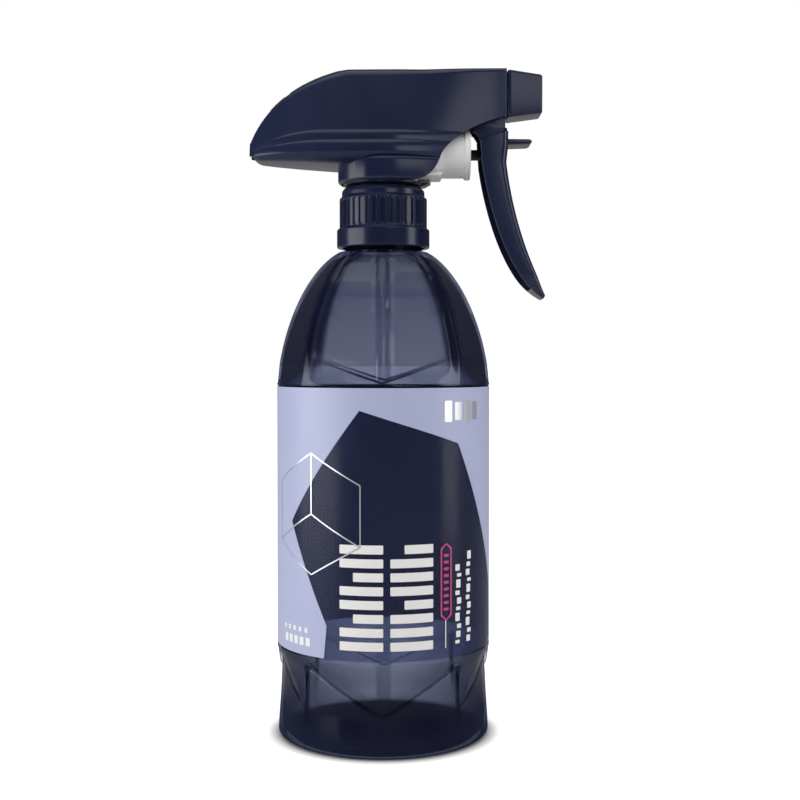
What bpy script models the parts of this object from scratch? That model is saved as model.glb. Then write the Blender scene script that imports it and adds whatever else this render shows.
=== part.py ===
"""Trigger-spray bottle: a 500 ml faceted bottle, its screw collar and a hand trigger sprayer.

Lengths are in millimetres and are scaled to metres when a mesh is made. They are measured from the
centre of the bottle's foot on the table; +Z is up and +X is the way the nozzle points. The finished
assembly is then shifted by AXIS_X, so that its outer box stands centred over the world's origin.
"""
import math

import bmesh
import bpy
from mathutils import Vector

MM = 0.001

# Where the bottle's axis stands: the box reaches from the hood's tail to the trigger's tip.
TAIL_X = -43.9
TIP_X = 53.2
AXIS_X = -0.5 * (TAIL_X + TIP_X)

# Driving dimensions of the bottle.
LABEL_RADIUS = 35.2
LABEL_BOTTOM = 30.7
LABEL_TOP = 115.0
LABEL_THICKNESS = 0.33
LABEL_RECESS = 0.45
FOOT_RADIUS = 34.9
HEEL = 1.9
WALL = 0.9
PUNT_HEIGHT = 2.8
SHOULDER_START = 116.1
SHOULDER_HEIGHT = 46.7
SHOULDER_POWER = 1.55
SHOULDER_ROOT = 2.49
RIDGE_ROUNDING = 4.6
RAMP_LOW = 13.2
RAMP_HIGH = 27.0
COLUMNS = 32

# Neck finish and its thread.
NECK_RADIUS = 12.35
NECK_BORE = 10.8
NECK_BASE = 160.0
NECK_TOP = 176.3
PITCH = 4.23
THREAD_TURNS = 1.25
THREAD_START = 166.4
THREAD_WIDTH = 1.4
NECK_CREST = 13.25
COLLAR_ROOT = 13.58
COLLAR_CREST = 12.68

# Collar.
COLLAR_BOTTOM = 160.4
COLLAR_TOP = 180.2
COLLAR_BAND = 15.3
COLLAR_GRIP = 14.45
COLLAR_SHOULDER = 13.65
RIBS = 36

# Sprayer head.
PUMP_Z = 191.2
BARREL_Z = 210.5
PIVOT = (38.0, 0.0, 204.0)
CYLINDER_RADIUS = 7.6
CYLINDER_BORE = 6.4
FLANGE_RADIUS = 8.2
ROD_RADIUS = 1.75
HEAD_WALL = 1.0
BOSS_RADIUS = 14.9
BOSS_BOTTOM = 182.0

# Hood: its seam with the nozzle, its half widths over the neck and at the seam, and its edges.
SEAM_X = 40.3
HOOD_HALF_WIDTH = 14.6
SEAM_HALF_WIDTH = 6.6
HOOD_TOP = 218.25
HOOD_CREST_X = -11.6
HOOD_BOTTOM = 185.8
TAIL_TOP = 192.6
TAIL_BOTTOM = 187.0

# Trigger lever.
LEVER_HALF_WIDTH = 9.4
LEVER_WALL = 0.95
LEVER_WEB = 1.9
LEVER_TIP_NARROWING = 3.6
EAR_HALF_WIDTH = 4.9
EAR_GAP_HALF_WIDTH = 3.6
PIN_RADIUS = 1.5
EYE_RADIUS = 1.62

SIDES = 24


# ---------------------------------------------------------------- scene and mesh helpers

def clear_scene():
    for old in list(bpy.data.objects):
        bpy.data.objects.remove(old, do_unlink=True)


def plastic(name, color, roughness=0.35, metallic=0.0, alpha=1.0):
    material = bpy.data.materials.new(name)
    material.use_nodes = True
    shader = material.node_tree.nodes["Principled BSDF"]
    shader.inputs["Base Color"].default_value = (*color, 1.0)
    shader.inputs["Roughness"].default_value = roughness
    shader.inputs["Metallic"].default_value = metallic
    shader.inputs["Alpha"].default_value = alpha
    return material


def make_object(name, points, faces, material, origin=(0.0, 0.0, 0.0), sharp=math.radians(35)):
    """Build a closed mesh from points in the bottle's frame, with its origin where asked."""
    base = Vector(origin)
    mesh = bpy.data.meshes.new(name)
    mesh.from_pydata([(Vector(p) - base) * MM for p in points], [], faces)
    shell = bmesh.new()
    shell.from_mesh(mesh)
    bmesh.ops.recalc_face_normals(shell, faces=shell.faces)
    shell.to_mesh(mesh)
    shell.free()
    mesh.shade_smooth()
    mesh.set_sharp_from_angle(angle=sharp)
    if material:
        mesh.materials.append(material)
    made = bpy.data.objects.new(name, mesh)
    made.location = base * MM
    bpy.context.scene.collection.objects.link(made)
    return made


def place(axis, centre, along, radius, angle):
    """A point on a turned piece: `along` is its coordinate on the turning axis."""
    c = radius * math.cos(angle)
    s = radius * math.sin(angle)
    if axis == "X":
        return (along, centre[1] + c, centre[2] + s)
    if axis == "Y":
        return (centre[0] + c, along, centre[2] + s)
    return (centre[0] + c, centre[1] + s, along)


def turned(name, profile, material, axis="Z", centre=(0.0, 0.0, 0.0), sides=SIDES, origin=None,
           shape=None):
    """Turn a closed (radius, along) outline about an axis; points with radius 0 become poles.

    `shape(index, angle, radius)` may give a different radius at an angle.
    """
    points = []
    rings = []
    for index, (radius, along) in enumerate(profile):
        if radius == 0.0:
            rings.append([len(points)] * sides)
            points.append(place(axis, centre, along, 0.0, 0.0))
            continue
        ring = []
        for k in range(sides):
            angle = 2.0 * math.pi * k / sides
            actual = shape(index, angle, radius) if shape else radius
            ring.append(len(points))
            points.append(place(axis, centre, along, actual, angle))
        rings.append(ring)
    faces = []
    for a, b in zip(rings, rings[1:] + rings[:1]):
        for k in range(sides):
            n = (k + 1) % sides
            corners = [a[k], a[n], b[n], b[k]]
            distinct = list(dict.fromkeys(corners))
            if len(distinct) > 2:
                faces.append(distinct)
    return make_object(name, points, faces, material, origin or centre)


def extruded(name, outline, low, high, material, origin=(0.0, 0.0, 0.0)):
    """Extrude an (x, z) outline from y = low to y = high."""
    count = len(outline)
    points = [(x, low, z) for x, z in outline] + [(x, high, z) for x, z in outline]
    faces = [list(range(count)), list(range(2 * count - 1, count - 1, -1))]
    for k in range(count):
        n = (k + 1) % count
        faces.append([k, k + count, n + count, n])
    return make_object(name, points, faces, material, origin)


def lofted(name, rings, material, origin=(0.0, 0.0, 0.0), sharp=math.radians(35)):
    """Join rings of equal length into a closed skin with flat ends."""
    count = len(rings[0])
    points = [p for ring in rings for p in ring]
    faces = [list(range(count)), [len(points) - 1 - k for k in range(count)]]
    for r in range(len(rings) - 1):
        for k in range(count):
            n = (k + 1) % count
            a = r * count
            b = a + count
            faces.append([a + k, a + n, b + n, b + k])
    return make_object(name, points, faces, material, origin, sharp)


def block(name, low, high, material, origin=(0.0, 0.0, 0.0)):
    outline = [(low[0], low[2]), (high[0], low[2]), (high[0], high[2]), (low[0], high[2])]
    return extruded(name, outline, low[1], high[1], material, origin)


def guide(tool):
    tool.hide_render = True
    tool.display_type = "WIRE"
    return tool


def combine(body, tool, operation, solver="EXACT"):
    step = body.modifiers.new(tool.name, "BOOLEAN")
    step.operation = operation
    step.solver = solver
    step.object = guide(tool)


def bezier(p0, p1, p2, p3, steps):
    path = []
    for k in range(steps + 1):
        t = k / steps
        u = 1.0 - t
        weights = (u * u * u, 3 * u * u * t, 3 * u * t * t, t * t * t)
        path.append(tuple(sum(w * p[i] for w, p in zip(weights, (p0, p1, p2, p3))) for i in (0, 1)))
    return path


# ---------------------------------------------------------------- bottle

def smooth(low, high, value):
    t = min(max((value - low) / (high - low), 0.0), 1.0)
    return t * t * (3.0 - 2.0 * t)


def bottle_angles():
    """Columns all round, doubled where a foot panel steps down to the next one."""
    step = 2.0 * math.pi / COLUMNS
    half_wall = math.radians(1.2)
    angles = []
    for k in range(COLUMNS):
        angle = k * step
        if k % (COLUMNS // 4) == COLUMNS // 8:
            angles += [angle - half_wall, angle + half_wall]
        else:
            angles.append(angle)
    return angles


def fold(angle):
    """Angle from the front or back centre line, 0 to 90 degrees; the front faces -Y."""
    turn = math.degrees(angle + math.pi / 2.0) % 180.0
    return min(turn, 180.0 - turn)


def ramp_height(angle):
    """Top edge of the foot panels: each climbs from its low end to its high end."""
    part = (fold(angle) % 45.0) / 45.0
    return RAMP_LOW + (RAMP_HIGH - RAMP_LOW) * part


def octagon(ridge, rounding, angle):
    """Radius of an octagon with rounded corners, whose corners stand `ridge` from the centre."""
    eighth = math.pi / 8.0
    from_corner = (angle + eighth) % (2.0 * eighth) - eighth
    rounding = min(rounding, 0.4 * ridge)
    apothem = (ridge - rounding) * math.cos(eighth) + rounding
    flat = apothem / math.cos(eighth - abs(from_corner))
    corner = (apothem - rounding) / math.cos(eighth)
    reach = rounding ** 2 - (corner * math.sin(from_corner)) ** 2
    if reach <= 0.0:
        return flat
    return min(flat, corner * math.cos(from_corner) + math.sqrt(reach))


def shoulder_ridge(z):
    s = min(max((z - SHOULDER_START) / SHOULDER_HEIGHT, 0.0), 0.995)
    return LABEL_RADIUS * (1.0 - s ** SHOULDER_POWER) ** (1.0 / SHOULDER_ROOT)


def shoulder_edge(angle):
    """Lower edge of the shoulder panels: low on four ridges and high on the four between."""
    return SHOULDER_START + 0.3 + 8.3 * (1.0 - abs(fold(angle) - 45.0) / 45.0)


def foot_radius(z, angle):
    ridge = FOOT_RADIUS - 1.15 * smooth(0.0, 26.0, z)
    flatness = 0.45 * smooth(3.0, 14.0, z)
    return ridge + flatness * (octagon(ridge, RIDGE_ROUNDING, angle) - ridge)


def bottle_rows():
    """Outer rows from the heel to the neck: each gives (radius, z) at an angle."""
    def foot(share):
        def row(angle):
            z = HEEL + share * (ramp_height(angle) - HEEL)
            return foot_radius(z, angle), z
        return row

    def recess(share):
        def row(angle):
            low = ramp_height(angle) + 1.2
            z = low + share * (28.4 - low)
            depth = 1.35 * min((29.0 - z) / 5.0, 1.0) + 0.10 * max(24.0 - z, 0.0)
            return LABEL_RADIUS - depth, z
        return row

    def circle(radius, z):
        return lambda angle: (radius, z)

    def shoulder(share):
        def row(angle):
            low = shoulder_edge(angle)
            z = low + share * (158.6 - low)
            return octagon(shoulder_ridge(z), RIDGE_ROUNDING, angle), z
        return row

    waist = LABEL_RADIUS - LABEL_RECESS
    rows = [circle(32.9, 0.0), circle(34.3, 0.6), circle(FOOT_RADIUS, HEEL)]
    rows.append(foot(1.0))
    rows += [recess(share) for share in (0.0, 1.0)]
    rows += [circle(LABEL_RADIUS, 29.2), circle(LABEL_RADIUS, 30.0), circle(waist, 30.3)]
    rows += [circle(waist, 115.3), circle(LABEL_RADIUS, 115.6)]
    rows += [shoulder(share) for share in (0.0, 0.27, 0.52, 0.74, 0.9, 1.0)]
    rows += [circle(NECK_RADIUS, NECK_BASE), circle(NECK_RADIUS, NECK_TOP)]
    return rows


def bottle_body(material):
    """The blown bottle as one skin: outside up to the lip, then back down inside."""
    angles = bottle_angles()
    outer = bottle_rows()
    rings = []
    for row in outer:
        marks = [(a, *row(a)) for a in angles]
        rings.append([(r * math.cos(a), r * math.sin(a), z) for a, r, z in marks])
    inside = [[(NECK_BORE * math.cos(a), NECK_BORE * math.sin(a), z) for a in angles]
              for z in (NECK_TOP, NECK_BASE - 0.6)]
    for row in reversed(outer[3:-3]):
        ring = []
        for a in angles:
            r, z = row(a)
            slant = 1.0 + 0.9 * smooth(125.0, 158.0, z)
            ring.append(((r - WALL * slant) * math.cos(a), (r - WALL * slant) * math.sin(a), z))
        inside.append(ring)
    inside.append([(33.0 * math.cos(a), 33.0 * math.sin(a), HEEL) for a in angles])
    inside.append([(30.5 * math.cos(a), 30.5 * math.sin(a), WALL) for a in angles])
    inside.append([(22.0 * math.cos(a), 22.0 * math.sin(a), PUNT_HEIGHT - 0.6 + WALL) for a in angles])
    under = [[(r * math.cos(a), r * math.sin(a), z) for a in angles]
             for r, z in ((21.5, PUNT_HEIGHT - 0.6), (29.5, 0.0))]
    rings = under + rings + inside
    count = len(angles)
    points = [p for ring in rings for p in ring]
    faces = []
    for r in range(len(rings) - 1):
        for k in range(count):
            n = (k + 1) % count
            faces.append([r * count + k, r * count + n, (r + 1) * count + n, (r + 1) * count + k])
    floor_out = len(points)
    points.append((0.0, 0.0, PUNT_HEIGHT))
    floor_in = len(points)
    points.append((0.0, 0.0, PUNT_HEIGHT + WALL))
    last = (len(rings) - 1) * count
    for k in range(count):
        n = (k + 1) % count
        faces.append([floor_out, n, k])
        faces.append([floor_in, last + k, last + n])
    return make_object("bottle", points, faces, material, sharp=math.radians(22))


def thread_ridge(name, root, crest, start, material):
    """A helical ridge of trapezoid section, whose ends fade into the wall."""
    steps_per_turn = COLUMNS
    steps = int(THREAD_TURNS * steps_per_turn)
    fade = 4
    rings = []
    for k in range(steps + 1):
        angle = 2.0 * math.pi * k / steps_per_turn
        z = start + PITCH * k / steps_per_turn
        size = min(1.0, 0.15 + k / fade, 0.15 + (steps - k) / fade)
        tip = root + (crest - root) * size
        wide = 0.5 * THREAD_WIDTH
        section = ((root, -wide), (tip, -0.55 * wide), (tip, 0.55 * wide), (root, wide))
        rings.append([(r * math.cos(angle), r * math.sin(angle), z + dz) for r, dz in section])
    return lofted(name, rings, material)


def bottle(material):
    body = bottle_body(material)
    ridge = thread_ridge("neck_thread", NECK_RADIUS - 0.5, NECK_CREST, THREAD_START, material)
    combine(body, ridge, "UNION")
    return body


def label(material):
    inner = LABEL_RADIUS - LABEL_THICKNESS
    outline = [(inner, LABEL_BOTTOM), (LABEL_RADIUS, LABEL_BOTTOM), (LABEL_RADIUS, LABEL_TOP),
               (inner, LABEL_TOP)]
    angles = bottle_angles()
    rings = [[(r * math.cos(a), r * math.sin(a), z) for a in angles] for r, z in outline]
    count = len(angles)
    faces = []
    for r in range(4):
        for k in range(count):
            n = (k + 1) % count
            nxt = (r + 1) % 4
            faces.append([r * count + k, r * count + n, nxt * count + n, nxt * count + k])
    return make_object("label", [p for ring in rings for p in ring], faces, material)


# ---------------------------------------------------------------- closure

def collar(material):
    """Screw cap with a plain skirt, a ribbed grip band and an inward flange at the top."""
    band_top = COLLAR_BOTTOM + 6.0
    grip_top = 176.6
    profile = [
        (COLLAR_BAND, COLLAR_BOTTOM), (COLLAR_BAND, band_top), (COLLAR_GRIP, band_top + 0.4),
        (COLLAR_GRIP, grip_top), (COLLAR_SHOULDER, grip_top + 0.4), (COLLAR_SHOULDER, 179.4),
        (13.0, COLLAR_TOP), (9.7, COLLAR_TOP), (9.7, 179.1), (12.8, 179.1), (12.8, 176.9),
        (COLLAR_ROOT, 176.2), (COLLAR_ROOT, COLLAR_BOTTOM),
    ]
    groove_rows = (2, 3)

    def ribbed(index, angle, radius):
        groove = int(round(angle * RIBS / math.pi)) % 2 == 1
        return radius - 0.42 if groove and index in groove_rows else radius

    body = turned("collar", profile, material, sides=2 * RIBS, shape=ribbed)
    ridge = thread_ridge("collar_thread", COLLAR_ROOT + 0.3, COLLAR_CREST,
                         THREAD_START - 0.5 * PITCH, material)
    combine(body, ridge, "UNION")
    return body


def neck_gasket(material):
    profile = [(10.8, 176.6), (12.2, 176.6), (12.2, 177.35), (10.8, 177.35)]
    return turned("neck_gasket", profile, material)


def neck_plug(material):
    """Plug in the bottle's mouth, with the flange that the collar pulls down on the gasket."""
    profile = [(5.6, 171.0), (9.6, 171.0), (10.4, 172.0), (10.4, 177.65), (12.4, 177.65),
               (12.4, 178.8), (9.35, 178.8), (9.35, 181.8), (5.6, 181.8)]
    return turned("neck_plug", profile, material)


def retaining_ring(material):
    """Dark ring above the collar, with a short lug under the front of the pump."""
    profile = [(9.55, 180.55), (12.3, 180.55), (13.3, 181.2), (13.3, 181.8), (9.55, 181.8)]
    body = turned("retaining_ring", profile, material)
    lug = extruded("ring_lug", [(12.0, 180.7), (13.6, 180.7), (15.7, 181.8), (12.0, 181.8)],
                   -4.0, 4.0, material)
    combine(body, lug, "UNION")
    return body


def tube_socket(material):
    """Sleeve that holds the dip tube below and forms the inlet ball's seat above."""
    profile = [(2.75, 167.0), (5.3, 167.0), (5.3, 185.5), (3.0, 185.5), (3.0, 181.5),
               (1.5, 179.8), (1.5, 178.6), (2.75, 178.6)]
    return turned("tube_socket", profile, material, sides=24)


def inlet_ball(material):
    mesh = bpy.data.meshes.new("inlet_ball")
    ball = bmesh.new()
    bmesh.ops.create_icosphere(ball, subdivisions=2, radius=2.3 * MM)
    ball.to_mesh(mesh)
    ball.free()
    mesh.shade_smooth()
    mesh.materials.append(material)
    made = bpy.data.objects.new("inlet_ball", mesh)
    made.location = (0.0, 0.0, 181.75 * MM)
    bpy.context.scene.collection.objects.link(made)
    return made


def dip_tube(material):
    profile = [(1.7, 6.0), (2.6, 6.0), (2.6, 178.2), (1.7, 178.2)]
    return turned("dip_tube", profile, material, sides=16)


# ---------------------------------------------------------------- pump

def rod_x(name, x0, x1, radius, z, material, sides=SIDES):
    profile = [(0.0, x0), (radius, x0), (radius, x1), (0.0, x1)]
    return turned(name, profile, material, axis="X", centre=(0.0, 0.0, z), sides=sides)


def rod_z(name, z0, z1, radius, material, sides=SIDES):
    profile = [(0.0, z0), (radius, z0), (radius, z1), (0.0, z1)]
    return turned(name, profile, material, sides=sides)


def pump_body(material):
    """White moulding: base plate, riser, cylinder housing, barrel and the trigger's pivot pin."""
    body = rod_z("pump_body", 183.0, BARREL_Z + 1.0, 5.2, material)
    x, _, z = PIVOT
    housing_bore = CYLINDER_RADIUS + 0.15
    pin = turned("pivot_pin", [(0.0, -4.8), (PIN_RADIUS, -4.8), (PIN_RADIUS, 4.8), (0.0, 4.8)],
                 material, axis="Y", centre=(x, 0.0, z), sides=16)
    added = [
        rod_x("barrel", -4.6, 39.2, 3.9, BARREL_Z, material),
        rod_x("housing", 3.4, 18.9, 8.6, PUMP_Z, material),
        rod_z("base_disc", BOSS_BOTTOM + 0.1, 184.4, 11.6, material),
        block("front_plate", (2.7, -8.2, 182.25), (19.3, 8.2, 184.6), material),
        block("pivot_web", (x - 3.2, -3.1, z - 2.4), (x + 0.9, 3.1, BARREL_Z - 1.0), material),
        pin,
    ]
    cut = [
        turned("barrel_bore", [(0.0, -2.6), (2.2, -2.6), (2.2, 24.2), (1.2, 24.2), (1.2, 25.4),
                               (2.9, 25.4), (2.9, 41.0), (0.0, 41.0)], material, axis="X",
               centre=(0.0, 0.0, BARREL_Z), sides=24),
        turned("riser_bore", [(0.0, 181.0), (5.6, 181.0), (5.6, 185.75), (1.7, 185.75),
                              (1.7, BARREL_Z - 0.4), (0.0, BARREL_Z - 0.4)], material, sides=24),
        turned("cylinder_bore", [(0.0, -0.5), (1.1, -0.5), (1.1, 6.3), (housing_bore, 6.3),
                                 (housing_bore, 21.0), (0.0, 21.0)], material, axis="X",
               centre=(0.0, 0.0, PUMP_Z)),
    ]
    for piece in added:
        combine(body, piece, "UNION", "MANIFOLD")
    for piece in cut:
        combine(body, piece, "DIFFERENCE", "MANIFOLD")
    return body


def pump_cylinder(material):
    profile = [(1.1, 6.5), (CYLINDER_RADIUS, 6.5), (CYLINDER_RADIUS, 26.6), (FLANGE_RADIUS, 26.8),
               (FLANGE_RADIUS, 28.6), (CYLINDER_BORE, 28.6), (CYLINDER_BORE, 7.8), (1.1, 7.8)]
    return turned("pump_cylinder", profile, material, axis="X", centre=(0.0, 0.0, PUMP_Z))


def piston(material):
    """Piston head and push rod; the rod's rounded end rests against the trigger's web."""
    profile = [(0.0, 19.6), (4.7, 19.6), (4.7, 21.2), (6.15, 21.5), (6.15, 23.2), (ROD_RADIUS, 23.9),
               (ROD_RADIUS, 37.6), (1.2, 38.2), (0.0, 38.4)]
    return turned("piston", profile, material, axis="X", centre=(0.0, 0.0, PUMP_Z), sides=24)


def piston_seal(material):
    profile = [(4.9, 19.5), (6.1, 19.5), (6.25, 19.9), (6.15, 21.1), (4.9, 21.0)]
    return turned("piston_seal", profile, material, axis="X", centre=(0.0, 0.0, PUMP_Z), sides=24)


def coil(name, x0, x1, radius, wire, turns, z, material, steps_per_turn=12, sides=4):
    """A round-wire spring wound along X, as one closed tube."""
    steps = int(turns * steps_per_turn)
    span = x1 - x0 - 2.0 * wire
    rings = []
    for k in range(steps + 1):
        angle = 2.0 * math.pi * k / steps_per_turn
        x = x0 + wire + span * k / steps
        ring = []
        for s in range(sides):
            phase = 2.0 * math.pi * s / sides
            r = radius + wire * math.cos(phase)
            ring.append((x + wire * math.sin(phase), r * math.cos(angle), z + r * math.sin(angle)))
        rings.append(ring)
    return lofted(name, rings, material, origin=(x0, 0.0, z), sharp=math.radians(80))


def outlet_valve(material):
    """Poppet whose nose closes the barrel until the pump pressure lifts it."""
    profile = [(0.0, 25.9), (1.6, 25.9), (2.5, 26.8), (2.5, 28.4), (1.1, 28.4), (1.1, 29.8),
               (0.0, 29.8)]
    return turned("outlet_valve", profile, material, axis="X", centre=(0.0, 0.0, BARREL_Z), sides=16)


def nozzle_base(material):
    """Swirl core: plugs the barrel and carries the turning nozzle cap."""
    profile = [(0.0, 34.6), (2.7, 34.6), (2.7, 39.5), (4.9, 39.5), (4.9, 40.2), (3.2, 40.3),
               (3.2, 43.4), (2.6, 43.6), (2.6, 45.4), (3.2, 45.6), (3.2, 48.6), (0.0, 48.6)]
    return turned("nozzle_base", profile, material, axis="X", centre=(0.0, 0.0, BARREL_Z), sides=24)


def nozzle_seal(material):
    profile = [(2.85, 43.8), (4.1, 43.8), (4.1, 45.2), (2.85, 45.2)]
    return turned("nozzle_seal", profile, material, axis="X", centre=(0.0, 0.0, BARREL_Z), sides=24)


def rounded_rectangle(x, half_y, low, high, corner, steps=3):
    """Ring of points in a plane of constant x, with its four corners rounded."""
    ring = []
    corners = ((half_y, high, 0), (-half_y, high, 90), (-half_y, low, 180), (half_y, low, 270))
    for y, z, start in corners:
        cy = y - math.copysign(corner, y)
        cz = z - corner if z == high else z + corner
        for k in range(steps + 1):
            a = math.radians(start + 90.0 * k / steps)
            ring.append((x, cy + corner * math.cos(a), cz + corner * math.sin(a)))
    return ring


def nozzle_cap(material):
    """Square cap, tapered to the front, that turns on the swirl core to close the spray."""
    stations = ((40.6, 6.1, 203.1, 217.8), (41.2, 6.45, 202.75, 218.15), (51.6, 5.65, 204.1, 216.6),
                (52.0, 5.3, 204.45, 216.25))
    rings = [rounded_rectangle(x, half, low, high, 0.7) for x, half, low, high in stations]
    body = lofted("nozzle_cap", rings, material, origin=(40.6, 0.0, BARREL_Z))
    combine(body, rod_x("cap_bore", 39.0, 49.4, 4.3, BARREL_Z, material, sides=24), "DIFFERENCE")
    combine(body, rod_x("cap_orifice", 48.0, 51.3, 0.5, BARREL_Z, material, sides=12), "DIFFERENCE")
    combine(body, rod_x("cap_recess", 51.0, 53.0, 2.6, BARREL_Z, material, sides=24), "DIFFERENCE")
    return body


# ---------------------------------------------------------------- shroud

def shroud_top(x):
    """Height of the hood's top line: flat in front and rounded down to the tail."""
    rise = 0.3
    if x > HOOD_CREST_X:
        return HOOD_TOP + 0.05 + rise * (x - HOOD_CREST_X) / (SEAM_X - HOOD_CREST_X)
    path = bezier((-43.7, TAIL_TOP), (-39.2, 204.7), (-29.6, 214.4), (HOOD_CREST_X, HOOD_TOP), 40)
    for (xa, za), (xb, zb) in zip(path, path[1:]):
        if xa <= x <= xb:
            return za + (zb - za) * (x - xa) / (xb - xa)
    return TAIL_TOP


def shroud_bottom(x):
    """Height of the hood's lower edge: level over the closure and turned up at the tail."""
    tail_start = -38.0
    level_start = -14.0
    if x < tail_start:
        return TAIL_BOTTOM + 5.0 * ((tail_start - x) / (tail_start - TAIL_X)) ** 2.2
    if x < level_start:
        share = (x - tail_start) / (level_start - tail_start)
        return TAIL_BOTTOM + (HOOD_BOTTOM - TAIL_BOTTOM) * share
    return HOOD_BOTTOM


def shroud_half_width(x):
    """Greatest half width: full over the neck, slim at the nozzle and rounded at the tail."""
    if x >= 0.0:
        return HOOD_HALF_WIDTH + (SEAM_HALF_WIDTH - HOOD_HALF_WIDTH) * smooth(2.0, 38.0, x)
    rounding_length = 44.6
    return HOOD_HALF_WIDTH * math.sqrt(max(1.0 - (abs(x) / rounding_length) ** 2.6, 0.02))


def shroud_section(x, inset=0.0):
    """Closed section of the hood at x, shrunk by the wall thickness where asked."""
    top = shroud_top(x) - inset
    low = shroud_bottom(x) + inset
    wide = shroud_half_width(x) - inset
    height = top - low
    front = smooth(10.0, 38.0, x)
    full = ((0.0, 0.0), (0.52, 0.0), (0.86, 0.06), (1.0, 0.20), (0.96, 0.32), (0.88, 0.40),
            (0.80, 0.60), (0.70, 0.82), (0.58, 0.94), (0.40, 1.0), (0.0, 1.0))
    slim = ((0.0, 0.0), (0.55, 0.0), (0.90, 0.04), (1.0, 0.12), (1.0, 0.30), (1.0, 0.45),
            (1.0, 0.65), (1.0, 0.85), (1.0, 0.955), (0.82, 1.0), (0.0, 1.0))
    right = []
    for (u0, v0), (u1, v1) in zip(full, slim):
        u = u0 + (u1 - u0) * front
        v = v0 + (v1 - v0) * front
        right.append((x, wide * u, low + height * v))
    left = [(x, -y, z) for _, y, z in reversed(right[1:-1])]
    return right + left


def shroud(material):
    """Outer cover: a hood over the pump with a round skirt over the closure."""
    shared_x = (-27.0, -20.0, -12.0, -4.0, 6.0, 16.0, 26.0, 34.0)
    outer_x = (TAIL_X, -43.0, -41.0, -38.0, -33.0) + shared_x + (SEAM_X,)
    inner_x = (-41.5, -39.0, -34.0) + shared_x + (42.0,)
    body = lofted("shroud", [shroud_section(x) for x in outer_x], material)
    skirt = rod_z("skirt", BOSS_BOTTOM, 191.0, BOSS_RADIUS, material, sides=48)
    hollow = lofted("hollow", [shroud_section(x, HEAD_WALL) for x in inner_x], material)
    bore = rod_z("skirt_bore", BOSS_BOTTOM - 1.0, 190.0, BOSS_RADIUS - HEAD_WALL, material, sides=48)
    upper = bezier((SEAM_X + 3.0, 203.6), (27.6, 201.0), (20.6, 193.2), (19.2, 190.7), 8)
    lower = bezier((19.2, 190.7), (17.7, 187.4), (16.8, 182.6), (10.4, 181.5), 6)
    edge = upper + lower[1:] + [(10.4, 170.0), (SEAM_X + 3.0, 170.0)]
    mouth = extruded("mouth", edge, -20.0, 20.0, material)
    combine(body, skirt, "UNION")
    combine(body, hollow, "DIFFERENCE")
    combine(body, bore, "DIFFERENCE")
    combine(body, mouth, "DIFFERENCE")
    combine(body, block("pump_gap", (4.0, -8.9, 180.0), (22.0, 8.9, 193.0), material), "DIFFERENCE")
    return body


# ---------------------------------------------------------------- trigger

def lever_grip():
    """Rear point, front point and half width along the curved grip, from the tip upwards."""
    steps = 10
    front = bezier((TIP_X, 144.6), (47.5, 156.5), (42.4, 169.9), (40.2, 187.8), steps)
    rear = bezier((52.4, 143.7), (39.9, 150.5), (33.7, 175.8), (32.0, 187.8), steps)
    marks = []
    for k in range(steps + 1):
        half = LEVER_HALF_WIDTH - LEVER_TIP_NARROWING * (1.0 - smooth(0.0, 0.22, k / steps))
        marks.append((rear[k], front[k], half))
    return marks


def lever_head():
    """The same marks for the head above the grip, which narrows to the ears."""
    return [((31.7, 192.0), (40.8, 193.5), LEVER_HALF_WIDTH),
            ((31.5, 194.6), (40.8, 197.9), LEVER_HALF_WIDTH),
            ((31.2, 196.3), (40.7, 198.7), 6.0),
            ((29.4, 198.9), (40.7, 199.4), 5.4)]


def lever_head_hollow():
    """Marks that end the hollow below the head's top."""
    return [((31.7, 192.0), (40.8, 193.5), LEVER_HALF_WIDTH),
            ((31.6, 193.8), (40.8, 196.7), LEVER_HALF_WIDTH),
            ((31.2, 195.6), (40.7, 197.7), 5.6)]


def lever_ring(back, fore, half):
    """Section across the lever: square behind, with eased corners in front."""
    ease = 0.28 * half
    side_x = fore[0] + 0.25 * (back[0] - fore[0])
    side_z = fore[1] + 0.25 * (back[1] - fore[1])
    return [(fore[0], ease - half, fore[1]), (fore[0], half - ease, fore[1]), (side_x, half, side_z),
            (back[0], half, back[1]), (back[0], -half, back[1]), (side_x, -half, side_z)]


def lever_hollow_ring(back, fore, half):
    """Section of the hollow: a web thick in front, a wall thin at the sides and open behind."""
    behind = (2.0 * back[0] - fore[0], 2.0 * back[1] - fore[1])
    return lever_ring(behind, (fore[0] - LEVER_WEB, fore[1]), half - LEVER_WALL)


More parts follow.
